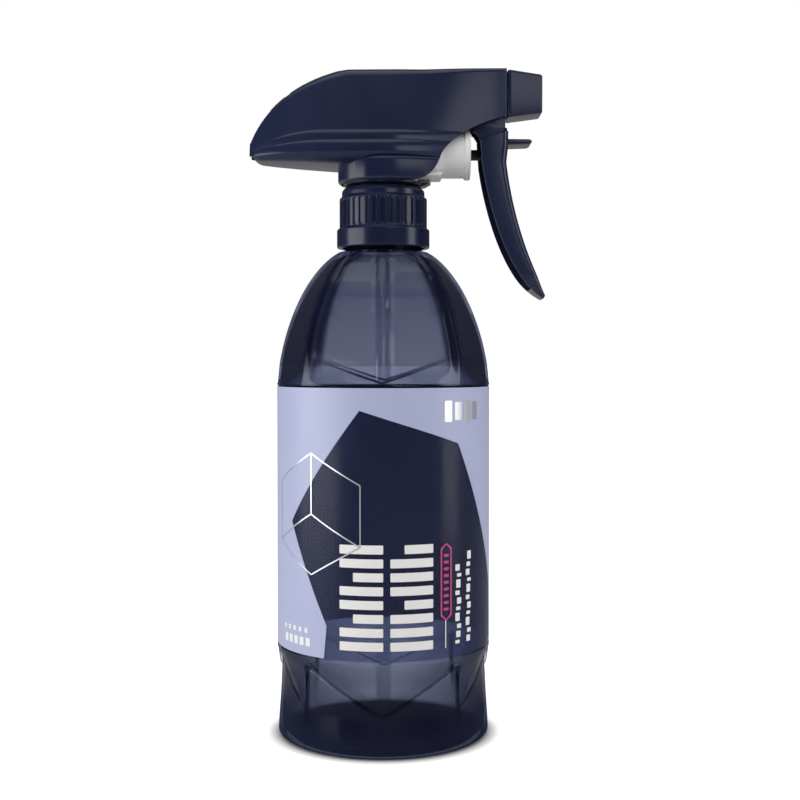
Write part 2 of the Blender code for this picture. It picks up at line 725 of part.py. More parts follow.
def trigger(material):
    """U-shaped lever, open behind, with two ears on the pivot pin and a finger ledge in front."""
    x, _, z = PIVOT
    outer = [lever_ring(*mark) for mark in lever_grip() + lever_head()]
    body = lofted("trigger", outer, material, origin=PIVOT)
    inner = [lever_hollow_ring(*mark) for mark in lever_grip()[1:] + lever_head_hollow()]
    hollow = lofted("trigger_hollow", inner, material)
    ear_outline = [(29.4, 197.9), (40.0, 197.9), (40.0, 205.2), (39.0, 206.6), (36.8, 206.8),
                   (34.2, 204.8), (33.4, 201.6), (29.4, 201.0)]
    ears = extruded("trigger_ears", ear_outline, -EAR_HALF_WIDTH, EAR_HALF_WIDTH, material)
    slot_outline = [(25.0, 194.0), (38.9, 194.0), (38.9, 199.2), (42.0, 199.9), (42.0, 210.0),
                    (25.0, 210.0)]
    slot = extruded("ear_slot", slot_outline, -EAR_GAP_HALF_WIDTH, EAR_GAP_HALF_WIDTH, material)
    eye = turned("trigger_eye", [(0.0, -7.0), (EYE_RADIUS, -7.0), (EYE_RADIUS, 7.0), (0.0, 7.0)],
                 material, axis="Y", centre=(x, 0.0, z), sides=16)
    ledge_outline = [(40.0, 193.9), (47.9, 194.2), (48.9, 194.9), (48.2, 195.7), (40.0, 195.8)]
    ledge = extruded("finger_ledge", ledge_outline, -5.0, 5.0, material)
    combine(body, ears, "UNION")
    combine(body, hollow, "DIFFERENCE")
    combine(body, slot, "DIFFERENCE")
    combine(body, eye, "DIFFERENCE")
    combine(body, ledge, "UNION")
    return body


# ---------------------------------------------------------------- assembly

def group(name, centre, pieces):
    """Hang pieces on an empty that stands on their joint's axis."""
    holder = bpy.data.objects.new(name, None)
    holder.location = Vector(centre) * MM
    bpy.context.scene.collection.objects.link(holder)
    for piece in pieces:
        piece.parent = holder
        piece.location = piece.location - holder.location


def stand_centred():
    """Hang everything on one empty, so that the whole assembly stands centred over the origin."""
    root = bpy.data.objects.new("spray_bottle", None)
    root.location = Vector((AXIS_X, 0.0, 0.0)) * MM
    for made in list(bpy.context.scene.objects):
        if made.parent is None:
            made.parent = root
    bpy.context.scene.collection.objects.link(root)


def main():
    clear_scene()
    navy = plastic("navy_plastic", (0.020, 0.026, 0.060), 0.28)
    glass = plastic("blue_pet", (0.05, 0.065, 0.14), 0.08, alpha=0.55)
    film = plastic("label_film", (0.45, 0.49, 0.68), 0.40)
    white = plastic("white_plastic", (0.82, 0.82, 0.84), 0.45)
    black = plastic("black_plastic", (0.012, 0.012, 0.018), 0.35)
    clear = plastic("clear_plastic", (0.75, 0.78, 0.82), 0.25, alpha=0.6)
    rubber = plastic("seal_rubber", (0.06, 0.06, 0.06), 0.8)
    steel = plastic("spring_steel", (0.60, 0.60, 0.62), 0.25, metallic=1.0)

    group("bottle_group", (0.0, 0.0, 0.0), [bottle(glass), label(film)])
    group("seal_group", (0.0, 0.0, NECK_TOP), [neck_gasket(rubber)])
    group("collar_group", (0.0, 0.0, COLLAR_BOTTOM), [collar(navy)])
    group("head_group", (0.0, 0.0, BOSS_BOTTOM), [
        neck_plug(black), retaining_ring(black), tube_socket(white), dip_tube(clear), pump_body(white),
        pump_cylinder(white), nozzle_base(white), nozzle_seal(rubber), shroud(navy),
        coil("return_spring", 8.1, 19.2, 4.0, 0.4, 6.0, PUMP_Z, steel),
        coil("outlet_spring", 30.0, 34.3, 1.8, 0.28, 4.0, BARREL_Z, steel, 10, 4),
    ])
    group("inlet_group", (0.0, 0.0, 181.75), [inlet_ball(steel)])
    group("piston_group", (19.6, 0.0, PUMP_Z), [piston(black), piston_seal(rubber)])
    group("outlet_group", (25.9, 0.0, BARREL_Z), [outlet_valve(clear)])
    group("nozzle_group", (40.6, 0.0, BARREL_Z), [nozzle_cap(navy)])
    group("trigger_group", PIVOT, [trigger(navy)])
    stand_centred()


main()
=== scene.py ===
"""Looks of the trigger-spray bottle: every visible piece in fine mesh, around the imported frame.

Lengths are in millimetres from the bottle's axis on the table, +X towards the nozzle and -Y the
label's front. They are scaled and moved onto the frame's own axis when a piece is made.
"""
import math

import bmesh
import bpy
import numpy as np
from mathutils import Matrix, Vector


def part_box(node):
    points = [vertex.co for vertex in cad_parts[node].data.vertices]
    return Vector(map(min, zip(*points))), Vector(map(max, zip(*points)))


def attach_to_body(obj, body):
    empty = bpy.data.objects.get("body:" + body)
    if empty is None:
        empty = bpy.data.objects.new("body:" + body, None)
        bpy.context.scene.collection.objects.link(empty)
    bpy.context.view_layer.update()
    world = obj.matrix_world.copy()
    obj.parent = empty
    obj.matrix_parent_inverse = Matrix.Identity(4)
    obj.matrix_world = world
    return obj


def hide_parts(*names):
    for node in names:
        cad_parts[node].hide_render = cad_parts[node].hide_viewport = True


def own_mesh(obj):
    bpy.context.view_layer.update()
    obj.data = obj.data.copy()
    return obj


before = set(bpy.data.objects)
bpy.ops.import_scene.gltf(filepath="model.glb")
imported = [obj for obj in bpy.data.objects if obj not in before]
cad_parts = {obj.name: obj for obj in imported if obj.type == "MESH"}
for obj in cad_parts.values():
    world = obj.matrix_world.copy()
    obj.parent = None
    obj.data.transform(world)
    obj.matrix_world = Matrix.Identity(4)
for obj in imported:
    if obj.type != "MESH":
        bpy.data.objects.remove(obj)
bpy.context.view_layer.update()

MM = 0.001
label_low, label_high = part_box("label")
AXIS = Vector(((label_low.x + label_high.x) / 2.0, 0.0, 0.0))
CENTRE = (0.0, 0.0, 0.0)


def node_box(node):
    """Lowest and highest corner of a CAD node, in millimetres from the bottle's axis."""
    low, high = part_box(node)
    return (low - AXIS) / MM, (high - AXIS) / MM


# ---------------------------------------------------------------- driving dimensions

LABEL_RADIUS = (label_high.x - label_low.x) / 2.0 / MM
LABEL_BOTTOM = label_low.z / MM
LABEL_TOP = label_high.z / MM
NECK_TOP = node_box("bottle")[1].z
COLLAR_BOTTOM = node_box("collar")[0].z
COLLAR_BAND, _, COLLAR_TOP = node_box("collar")[1]
TAIL_X, _, BOSS_BOTTOM = node_box("shroud")[0]
SEAM_X, _, HOOD_TOP = node_box("shroud")[1]
NOZZLE_BACK, NOZZLE_FRONT = (corner.x for corner in node_box("nozzle_cap"))
PUMP_Z = sum(corner.z for corner in node_box("pump_cylinder")) / 2.0
BARREL_Z = sum(corner.z for corner in node_box("nozzle_base")) / 2.0
PIVOT_X = 38.0
PIVOT_Z = 204.0

WALL = 0.9
WAIST = LABEL_RADIUS - 0.45
FILM_RADIUS = LABEL_RADIUS - 0.33
MARK_RADIUS = LABEL_RADIUS
MARK_DEPTH = 0.03
LABEL_HEIGHT = LABEL_TOP - LABEL_BOTTOM
LABEL_MIDDLE = (LABEL_TOP + LABEL_BOTTOM) / 2.0
HALF_ROUND = math.pi * LABEL_RADIUS
SHEET_STEP = 1.25
FOOT_RADIUS = LABEL_RADIUS - 0.3
HEEL = 1.9
HEEL_ROWS = 9
PUNT_HEIGHT = 2.8
RAMP_LOW = 13.2
RAMP_HIGH = 27.0
CREASE_REACH = 20.0
SHOULDER_START = LABEL_TOP + 1.1
SHOULDER_HEIGHT = 46.7
SHOULDER_STEP = 8.6
SHOULDER_EDGE_RISE = 0.3
RIDGE_ROUNDING = 2.4
LIQUID_TOP = 145.5

NECK_RADIUS = 12.35
NECK_BORE = 10.8
NECK_BASE = 160.0
PITCH = 4.23
THREAD_TURNS = 1.25
THREAD_START = 166.4
THREAD_HALF_WIDTH = 0.7
THREAD_DEPTH = 0.9

COLLAR_GRIP = 14.45
COLLAR_SHOULDER = 13.65
COLLAR_ROOT = 13.58
RIBS = 36
GROOVE_DEPTH = 0.62

BOSS_RADIUS = 14.9
HOOD_HALF_WIDTH = BOSS_RADIUS - 0.3
SKIRT_BOTTOM = BOSS_BOTTOM - 0.7
SKIRT_EDGE = ((0.0, 188.4, 0.9), (2.2, 190.0, 0.4))
TAIL_BOTTOM = 188.5
TAIL_TOP = 194.9
HOOD_BOTTOM = 186.9
HEAD_WALL = 1.0
PAD_ENDS = (-37.3, -32.3, -30.7)
LEVER_HALF_WIDTH = node_box("trigger")[1].y
LEVER_WALL = 0.95
LEVER_WEB = 1.9


# ---------------------------------------------------------------- mesh helpers

def smooth(low, high, value):
    """Ease from 0 at `low` to 1 at `high`."""
    t = min(max((value - low) / (high - low), 0.0), 1.0)
    return t * t * (3.0 - 2.0 * t)


def mix(a, b, share):
    """The number that lies `share` of the way from a to b."""
    return a + (b - a) * share


def bezier(p0, p1, p2, p3, steps):
    """Points along a cubic curve from p0 to p3."""
    path = []
    for k in range(steps + 1):
        t = k / steps
        u = 1.0 - t
        weights = (u * u * u, 3 * u * u * t, 3 * u * t * t, t * t * t)
        path.append(tuple(sum(w * p[i] for w, p in zip(weights, (p0, p1, p2, p3))) for i in (0, 1)))
    return path


def rounded(corners, steps=3, closed=True):
    """Round the corners of an outline given as (a, b, radius); each becomes a short curve."""
    count = len(corners)
    path = []
    for k, (a, b, radius) in enumerate(corners):
        here = Vector((a, b))
        before = Vector(corners[k - 1][:2]) - here
        after = Vector(corners[(k + 1) % count][:2]) - here
        end = not closed and k in (0, count - 1)
        if radius <= 0.0 or end:
            path.append((a, b))
            continue
        reach = min(radius, 0.45 * before.length, 0.45 * after.length)
        start = here + before.normalized() * reach
        stop = here + after.normalized() * reach
        for s in range(steps + 1):
            t = s / steps
            point = start * (1 - t) ** 2 + here * 2 * t * (1 - t) + stop * t * t
            path.append((point.x, point.y))
    return path


def softened(profile, radius=0.2, steps=2):
    """Give every corner of a plain (radius, along) outline the same small rounding."""
    return rounded([(r, z, 0.0 if r == 0.0 else radius) for r, z in profile], steps)


def add_object(name, data):
    """Put an object with this data into the scene."""
    made = bpy.data.objects.new(name, data)
    bpy.context.scene.collection.objects.link(made)
    return made


def add_piece(mesh, material, sharp=30.0):
    """Put a finished mesh into the scene with its material, creased where it bends sharply."""
    mesh.materials.clear()
    mesh.materials.append(material)
    finish_shading(mesh, sharp)
    return add_object(mesh.name, mesh)


def finish_shading(mesh, sharp=30.0):
    """Smooth shading, except over edges that bend by more than `sharp` degrees."""
    mesh.shade_smooth()
    mesh.set_sharp_from_angle(angle=math.radians(sharp))


def build(name, points, faces, material, sharp=30.0):
    """A mesh object on the frame's axis, from points in millimetres."""
    mesh = bpy.data.meshes.new(name)
    mesh.from_pydata([Vector(p) * MM + AXIS for p in points], [], faces)
    shell = bmesh.new()
    shell.from_mesh(mesh)
    bmesh.ops.recalc_face_normals(shell, faces=shell.faces)
    shell.to_mesh(mesh)
    shell.free()
    return add_piece(mesh, material, sharp)


def skinned(name, rings, material, sharp=30.0, looped=False):
    """A mesh over rings of equal length: capped at both ends, or looped back to the first ring."""
    count = len(rings[0])
    total = len(rings)
    points = [p for ring in rings for p in ring]
    faces = []
    for a in range(total if looped else total - 1):
        b = (a + 1) % total
        for k in range(count):
            n = (k + 1) % count
            faces.append([a * count + k, a * count + n, b * count + n, b * count + k])
    if not looped:
        faces.append(list(range(count)))
        faces.append([len(points) - 1 - k for k in range(count)])
    return build(name, points, faces, material, sharp)


def mirrored(x, half):
    """Close a half section of (y, z) points into a ring at x by repeating it on the other side."""
    return [(x, y, z) for y, z in half + [(-y, z) for y, z in reversed(half[1:-1])]]


def place(axis, centre, along, radius, angle):
    """The point at this radius and angle about an axis through `centre`."""
    c = radius * math.cos(angle)
    s = radius * math.sin(angle)
    if axis == "X":
        return (along, centre[1] + c, centre[2] + s)
    if axis == "Y":
        return (centre[0] + c, along, centre[2] + s)
    return (centre[0] + c, centre[1] + s, along)


def around(angle, radius, z):
    """The point at this angle, radius and height about the bottle's axis."""
    return (radius * math.cos(angle), radius * math.sin(angle), z)


def level_rings(profile, angles):
    """Level rings about the bottle's axis, one for each (radius, z)."""
    return [[around(angle, radius, z) for angle in angles] for radius, z in profile]


def turned(name, profile, material, axis="Z", centre=CENTRE, sides=128):
    """Turn a closed (radius, along) outline about an axis; radius 0 becomes a pole."""
    points = []
    rings = []
    for radius, along in profile:
        if radius == 0.0:
            rings.append([len(points)] * sides)
            points.append(place(axis, centre, along, 0.0, 0.0))
            continue
        rings.append([len(points) + k for k in range(sides)])
        points += [place(axis, centre, along, radius, 2.0 * math.pi * k / sides) for k in range(sides)]
    faces = []
    for a, b in zip(rings, rings[1:] + rings[:1]):
        for k in range(sides):
            n = (k + 1) % sides
            distinct = list(dict.fromkeys([a[k], a[n], b[n], b[k]]))
            if len(distinct) > 2:
                faces.append(distinct)
    return build(name, points, faces, material)


def extruded(name, outline, low, high, material, bevel=0.0):
    """Extrude an (x, z) outline along Y; `bevel` rounds the edges of its two flat sides."""
    count = len(outline)
    points = [(x, low, z) for x, z in outline] + [(x, high, z) for x, z in outline]
    faces = [list(range(count)), list(range(2 * count - 1, count - 1, -1))]
    for k in range(count):
        n = (k + 1) % count
        faces.append([k, k + count, n + count, n])
    made = build(name, points, faces, material)
    if bevel:
        shape = bmesh.new()
        shape.from_mesh(made.data)
        rim = [e for e in shape.edges if abs(e.verts[0].co.y - e.verts[1].co.y) < 1e-7]
        bmesh.ops.bevel(shape, geom=rim, offset=bevel * MM, segments=4, profile=0.5, affect="EDGES")
        shape.to_mesh(made.data)
        shape.free()
        finish_shading(made.data)
    return made


def combine(body, tools, operation):
    """Apply a Boolean with each tool in turn, and remove the tools."""
    for tool in tools:
        step = body.modifiers.new("cut", "BOOLEAN")
        step.operation = operation
        step.solver = "MANIFOLD"
        step.object = tool
        bpy.context.view_layer.update()
        graph = bpy.context.evaluated_depsgraph_get()
        result = bpy.data.meshes.new_from_object(body.evaluated_get(graph))
        body.modifiers.clear()
        body.data = result
        bpy.data.objects.remove(tool, do_unlink=True)
    finish_shading(body.data)


def attach(piece, body, node, slot=None):
    """Let a finished piece ride on its CAD body and stand for its node, if it has one.

    `slot` is not used.
    """
    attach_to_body(piece, body)
    if node:
        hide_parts(node)
    slot or piece.data.materials[0].name.split(".")[0]


# ---------------------------------------------------------------- materials

class Paint:
    """A material under construction: short names for the nodes that the finishes share."""

    def __init__(self, name):
        self.material = bpy.data.materials.new(name)
        self.material.use_nodes = True
        self.tree = self.material.node_tree
        self.shader = self.tree.nodes["Principled BSDF"]
        self.output = self.tree.nodes["Material Output"]
        self.where = self.node("ShaderNodeTexCoord").outputs["Object"]

    def node(self, kind, **settings):
        """A new node with these settings."""
        made = self.tree.nodes.new(kind)
        for key, value in settings.items():
            setattr(made, key, value)
        return made

    def link(self, source, target):
        """Feed a socket into another."""
        self.tree.links.new(source, target)

    def noise(self, scale, detail=3.0, stretch=(1.0, 1.0, 1.0)):
        """Noise with features about 1/scale metres across, drawn out along an axis by `stretch`."""
        mapping = self.node("ShaderNodeMapping")
        mapping.inputs["Scale"].default_value = stretch
        texture = self.node("ShaderNodeTexNoise")
        texture.inputs["Scale"].default_value = scale
        texture.inputs["Detail"].default_value = detail
        self.link(self.where, mapping.inputs["Vector"])
        self.link(mapping.outputs["Vector"], texture.inputs["Vector"])
        return texture.outputs["Fac"]

    def ramp(self, value, low, high, out_low, out_high):
        """Carry a value from low..high to out_low..out_high, held at both ends."""
        spread = self.node("ShaderNodeMapRange")
        for key, number in (("From Min", low), ("From Max", high), ("To Min", out_low), ("To Max", out_high)):
            spread.inputs[key].default_value = number
        self.link(value, spread.inputs["Value"])
        return spread.outputs["Result"]

    def math(self, operation, first, second=None):
        """A math node; each operand is a socket or a number."""
        made = self.node("ShaderNodeMath", operation=operation)
        for socket, operand in zip(made.inputs, (first, second)):
            if isinstance(operand, (int, float)):
                socket.default_value = operand
            elif operand is not None:
                self.link(operand, socket)
        return made.outputs[0]

    def times(self, first, second):
        """The product of two operands."""
        return self.math("MULTIPLY", first, second)

    def apart(self, first, second):
        """How far two operands are apart."""
        return self.math("ABSOLUTE", self.math("SUBTRACT", first, second))

    def split(self):
        """The x, y and z sockets of the shaded point, in metres."""
        made = self.node("ShaderNodeSeparateXYZ")
        self.link(self.where, made.inputs[0])
        return made.outputs

    def blend(self, share, first, second):
        """Mix two colours; each is a colour or a socket."""
        made = self.node("ShaderNodeMix", data_type="RGBA")
        self.link(share, made.inputs["Factor"])
        for socket, colour in ((made.inputs["A"], first), (made.inputs["B"], second)):
            if isinstance(colour, tuple):
                socket.default_value = (*colour, 1.0)
            else:
                self.link(colour, socket)
        return made.outputs["Result"]

    def blend_shaders(self, share, first, second):
        """Mix two shaders."""
        made = self.node("ShaderNodeMixShader")
        for socket, source in zip(made.inputs, (share, first, second)):
            self.link(source, socket)
        return made.outputs[0]

    def bump(self, layers):
        """Stack (height socket, depth in metres) layers onto the shader's normal."""
        normal = None
        for height, depth in layers:
            made = self.node("ShaderNodeBump")
            made.inputs["Strength"].default_value = 1.0
            made.inputs["Distance"].default_value = depth
            self.link(height, made.inputs["Height"])
            if normal:
                self.link(normal, made.inputs["Normal"])
            normal = made.outputs["Normal"]
        return normal

    def wear(self):
        """Share of wear: high along outward edges."""
        return self.ramp(self.node("ShaderNodeNewGeometry").outputs["Pointiness"], 0.535, 0.60, 0.0, 1.0)

    def finish(self, colour, roughness, layers=(), metallic=0.0):
        """Feed the shader's colour, roughness and bump layers, and hand over the material."""
        self.link(colour, self.shader.inputs["Base Color"])
        self.link(roughness, self.shader.inputs["Roughness"])
        if layers:
            self.link(self.bump(layers), self.shader.inputs["Normal"])
        self.shader.inputs["Metallic"].default_value = metallic
        return self.material


def moulded(name, colour, roughness, worn=None, grain=0.6, glow=0.0):
    """Injection-moulded plastic: fine grain, faint flow marks, uneven gloss and rubbed edges."""
    paint = Paint(name)
    flow = paint.noise(45.0, 4.0, (1.0, 1.0, 0.35))
    dust = paint.noise(900.0, 2.0)
    tint = tuple(min(c * 1.25 + 0.002, 1.0) for c in colour)
    base = paint.blend(paint.ramp(flow, 0.35, 0.7, 0.0, 1.0), colour, tint)
    if worn:
        base = paint.blend(paint.wear(), base, worn)
    if glow:
        paint.shader.inputs["Subsurface Weight"].default_value = glow
        paint.shader.inputs["Subsurface Radius"].default_value = (0.0012, 0.0012, 0.0015)
    return paint.finish(base, paint.ramp(flow, 0.3, 0.7, roughness - 0.05, roughness + 0.06),
                        [(flow, 0.00004), (dust, 0.000004 * grain)])


def metal(name, colour, roughness):
    """Drawn steel: fine drawing lines and small stains."""
    paint = Paint(name)
    lines = paint.noise(1200.0, 2.0, (0.15, 1.0, 1.0))
    stain = paint.ramp(paint.noise(160.0, 3.0), 0.5, 0.75, 0.0, 1.0)
    dark = tuple(c * 0.75 for c in colour)
    return paint.finish(paint.blend(stain, colour, dark),
                        paint.ramp(lines, 0.3, 0.7, roughness - 0.08, roughness + 0.1),
                        [(lines, 0.000004)], 1.0)


def rubber(name):
    """Seal rubber: dull, with a fine bloom."""
    paint = Paint(name)
    bloom = paint.noise(500.0, 4.0)
    return paint.finish(paint.blend(bloom, (0.010, 0.010, 0.011), (0.045, 0.045, 0.05)),
                        paint.ramp(bloom, 0.3, 0.7, 0.6, 0.85), [(bloom, 0.00001)])


def print_ink(name, colour, roughness=0.38, metallic=0.0):
    """Printed film: faint press mottle, a satin varnish and slight stretch marks up the sleeve."""
    paint = Paint(name)
    mottle = paint.noise(700.0, 3.0)
    drawn = paint.noise(40.0, 3.0, (1.0, 1.0, 0.12))
    light = tuple(min(c * 1.05 + 0.004, 1.0) for c in colour)
    return paint.finish(paint.blend(mottle, colour, light),
                        paint.ramp(drawn, 0.3, 0.7, roughness - 0.05, roughness + 0.07),
                        [(drawn, 0.000025), (mottle, 0.000002)], metallic)


def painted_crease_shade(paint):
    """Share of painted shade where the blown wall is creased: the shoulder's ridges, the edges under
    the shoulder's panels, and the edges over and between the foot's panels.
    """
    x, y, z = paint.split()
    z = paint.math("DIVIDE", z, MM)
    turn = paint.math("ARCTAN2", y, paint.math("SUBTRACT", x, AXIS.x))
    eighths = paint.times(turn, 4.0 / math.pi)
    from_front = paint.math("PINGPONG", paint.math("ADD", eighths, 2.0), 2.0)
    off = paint.apart(from_front, 1.0)

    def line(middle):
        """A fine line along a height, gone half a millimetre from it."""
        return paint.ramp(paint.apart(z, middle), 0.1, 0.5, 1.0, 0.0)

    ridge = paint.times(paint.ramp(off, 0.03, 0.11, 1.0, 0.0), paint.ramp(z, 119.0, 125.0, 0.0, 1.0))
    drop = paint.times(off, SHOULDER_STEP - SHOULDER_EDGE_RISE)
    low_edge = paint.math("SUBTRACT", SHOULDER_START + SHOULDER_STEP, drop)
    panel = paint.times(line(low_edge), paint.ramp(off, 0.1, 0.9, 0.2, 1.0))
    climb = paint.times(paint.math("FRACT", from_front), RAMP_HIGH - RAMP_LOW)
    ramp_line = line(paint.math("ADD", climb, RAMP_LOW))
    ramp_edge = paint.times(ramp_line, paint.ramp(off, 0.0, 1.0, 0.8, 0.45))
    rise = paint.ramp(z, RAMP_LOW - 6.0, RAMP_LOW, 0.15, 1.0)
    step = paint.times(paint.ramp(off, 0.01, 0.03, 1.0, 0.0), rise)
    step = paint.times(step, paint.ramp(z, RAMP_HIGH, RAMP_HIGH + 0.5, 1.0, 0.0))
    return paint.math("MAXIMUM", paint.math("MAXIMUM", ridge, panel), paint.math("MAXIMUM", ramp_edge, step))


def clear_wall(name, tint, rim_tint, gloss=0.09, shine=1.0, covered=None, haze=None, creases=None):
    """Thin see-through wall: it tints and shines but, having parallel faces, doesn't bend light.

    Only its outer face shines. Where it is `covered`, from one height to another, it doesn't, and in
    the foot under that it shines less and is milkier. `haze` is a share and a colour of milkiness,
    and `creases` gives the share of painted shade along the wall's folds: a darker tint and less shine.
    """
    paint = Paint(name)
    facing = paint.node("ShaderNodeLayerWeight")
    facing.inputs["Blend"].default_value = 0.45
    clouds = paint.noise(60.0, 3.0, (1.0, 1.0, 0.4))
    orange_peel = paint.noise(420.0, 2.0)
    normal = paint.bump([(clouds, 0.00003), (orange_peel, 0.0000012)])
    colour = paint.blend(facing.outputs["Facing"], tint, rim_tint)
    if creases:
        # painted shade: the see-through tint turns dark navy along the wall's folds
        dark = creases(paint)
        colour = paint.blend(dark, colour, (0.09, 0.105, 0.21))
    through = paint.node("ShaderNodeBsdfTransparent")
    paint.link(colour, through.inputs["Color"])
    glossy = paint.node("ShaderNodeBsdfGlossy")
    paint.link(paint.ramp(clouds, 0.3, 0.7, gloss - 0.03, gloss + 0.05), glossy.inputs["Roughness"])
    paint.link(normal, glossy.inputs["Normal"])
    fresnel = paint.node("ShaderNodeFresnel")
    fresnel.inputs["IOR"].default_value = 1.5
    paint.link(normal, fresnel.inputs["Normal"])
    outer = paint.ramp(paint.node("ShaderNodeNewGeometry").outputs["Backfacing"], 0.0, 1.0, shine, 0.0)
    share = paint.math("MINIMUM", paint.times(fresnel.outputs["Fac"], outer), 0.35)
    if creases:
        # the painted shade also dulls the shine along the folds
        share = paint.times(share, paint.ramp(dark, 0.0, 1.0, 1.0, 0.25))
    if covered:
        height = paint.split()["Z"]
        half = (covered[1] - covered[0]) / 2.0 * MM
        distance = paint.apart(height, (covered[0] + covered[1]) / 2.0 * MM)
        share = paint.times(share, paint.ramp(distance, half - 0.1 * MM, half, 0.0, 1.0))
        share = paint.times(share, paint.ramp(height, 10.0 * MM, RAMP_HIGH * MM, 0.12, 1.0))
    behind = through.outputs[0]
    if haze:
        amount, milk_colour = haze
        milk = paint.node("ShaderNodeBsdfDiffuse")
        milk.inputs["Color"].default_value = (*milk_colour, 1.0)
        milkiness = paint.ramp(clouds, 0.3, 0.7, amount * 0.9, amount * 1.1)
        if covered:
            milkiness = paint.times(milkiness, paint.ramp(height, 2.0 * MM, 16.0 * MM, 2.4, 1.0))
        behind = paint.blend_shaders(milkiness, behind, milk.outputs[0])
    surface = paint.blend_shaders(share, behind, glossy.outputs[0])
    paint.link(surface, paint.output.inputs["Surface"])
    return paint.material


NAVY = moulded("navy_plastic", (0.0075, 0.0125, 0.046), 0.22, worn=(0.022, 0.027, 0.06))
BLACK = moulded("black_plastic", (0.006, 0.006, 0.010), 0.30, worn=(0.03, 0.03, 0.036))
WHITE = moulded("white_plastic", (0.78, 0.78, 0.79), 0.42, grain=1.0, glow=0.25)
PUMP_WHITE = moulded("pump_plastic", (0.82, 0.82, 0.835), 0.38, grain=1.0, glow=0.35)
NATURAL = moulded("natural_plastic", (0.50, 0.54, 0.60), 0.30, glow=0.5)
RUBBER = rubber("seal_rubber")
STEEL = metal("spring_steel", (0.58, 0.58, 0.60), 0.28)
BALL_STEEL = metal("steel_ball", (0.66, 0.66, 0.68), 0.16)
PET = clear_wall("bottle_pet", (0.71, 0.725, 0.785), (0.075, 0.095, 0.20), gloss=0.12,
                 covered=(LABEL_BOTTOM, LABEL_TOP), haze=(0.12, (0.05, 0.06, 0.15)), creases=painted_crease_shade)
FILM = clear_wall("label_film_clear", (0.80, 0.83, 0.92), (0.6, 0.63, 0.75), gloss=0.24, shine=0.6,
                  haze=(0.20, (0.055, 0.075, 0.22)))
LIQUID = clear_wall("liquid", (0.975, 0.98, 1.0), (0.80, 0.83, 0.94), gloss=0.05, shine=0.2)
TUBE = clear_wall("dip_tube_clear", (0.93, 0.94, 0.97), (0.80, 0.82, 0.90), gloss=0.2, shine=0.3,
                  haze=(0.03, (0.3, 0.33, 0.4)))
LAVENDER = print_ink("label_ink_lavender", (0.45, 0.485, 0.70))
WHITE_INK = print_ink("label_ink_white", (0.90, 0.89, 0.87))
PINK_INK = print_ink("label_ink_pink", (0.52, 0.055, 0.24))
SILVER_INK = print_ink("label_ink_silver", (0.78, 0.80, 0.84), 0.30, 0.9)


# ---------------------------------------------------------------- bottle

def fold(angle):
    """Angle from the front or back centre line, 0 to 90 degrees."""
    turn = math.degrees(angle + math.pi / 2.0) % 180.0
    return min(turn, 180.0 - turn)


def octagon(ridge, rounding, angle):
    """Radius of an octagon with rounded corners, whose corners stand `ridge` from the centre."""
    eighth = math.pi / 8.0
    from_corner = (angle + eighth) % (2.0 * eighth) - eighth
    rounding = min(rounding, 0.4 * ridge)
    apothem = (ridge - rounding) * math.cos(eighth) + rounding
    flat = apothem / math.cos(eighth - abs(from_corner))
    corner = (apothem - rounding) / math.cos(eighth)
    reach = rounding ** 2 - (corner * math.sin(from_corner)) ** 2
    if reach <= 0.0:
        return flat
    return min(flat, corner * math.cos(from_corner) + math.sqrt(reach))


def ramp_height(angle):
    """Top edge of the foot panels: each climbs from its low end to its high end."""
    return mix(RAMP_LOW, RAMP_HIGH, (fold(angle) % 45.0) / 45.0)


def crease_height(angle):
    """Where the round waist breaks into the slanted facet above a foot panel."""
    share = min(max(((fold(angle) % 45.0) - 2.0) / (CREASE_REACH - 2.0), 0.0), 1.0)
    return max(mix(RAMP_LOW, LABEL_BOTTOM - 1.4, share), ramp_height(angle) + 0.5)


def waist_radius(z):
    """The round waist draws in a little below the label."""
    return LABEL_RADIUS - 1.6 * smooth(LABEL_BOTTOM - 1.0, LABEL_BOTTOM - 8.7, z)


def foot_radius(z, angle):
    """The foot: round at the heel, and softly eight-sided above."""
    ridge = FOOT_RADIUS - 1.15 * smooth(0.0, 26.0, z)
    return mix(ridge, octagon(ridge, RIDGE_ROUNDING, angle), 0.45 * smooth(3.0, 14.0, z))


def shoulder_ridge(z):
    """How far the shoulder's ridges stand from the axis."""
    s = min(max((z - SHOULDER_START) / SHOULDER_HEIGHT, 0.0), 0.995)
    return LABEL_RADIUS * (1.0 - s ** 1.55) ** (1.0 / 2.49)


def shoulder_edge(angle):
    """Lower edge of the shoulder panels: low on four ridges and high on the four between."""
    off = abs(fold(angle) - 45.0) / 45.0
    return SHOULDER_START + SHOULDER_STEP - (SHOULDER_STEP - SHOULDER_EDGE_RISE) * off


def thread_share(angle, z, start):
    """How much of a thread's height stands at this point of a neck or a collar."""
    best = 0.0
    for lap in range(2):
        turn = (angle % (2.0 * math.pi)) / (2.0 * math.pi) + lap
        if turn < THREAD_TURNS:
            ends = smooth(0.0, 0.07, turn) * smooth(0.0, 0.07, THREAD_TURNS - turn)
            off = abs(z - start - PITCH * turn)
            best = max(best, ends * (1.0 - smooth(0.45 * THREAD_HALF_WIDTH, THREAD_HALF_WIDTH, off)))
    return best


def bottle_angles(columns):
    """Columns all round, doubled where a foot panel steps down to the next one."""
    angles = []
    for k in range(columns):
        angle = 2.0 * math.pi * k / columns
        if k % (columns // 4) == columns // 8:
            angles += [angle - math.radians(0.55), angle + math.radians(0.55)]
        else:
            angles.append(angle)
    return angles


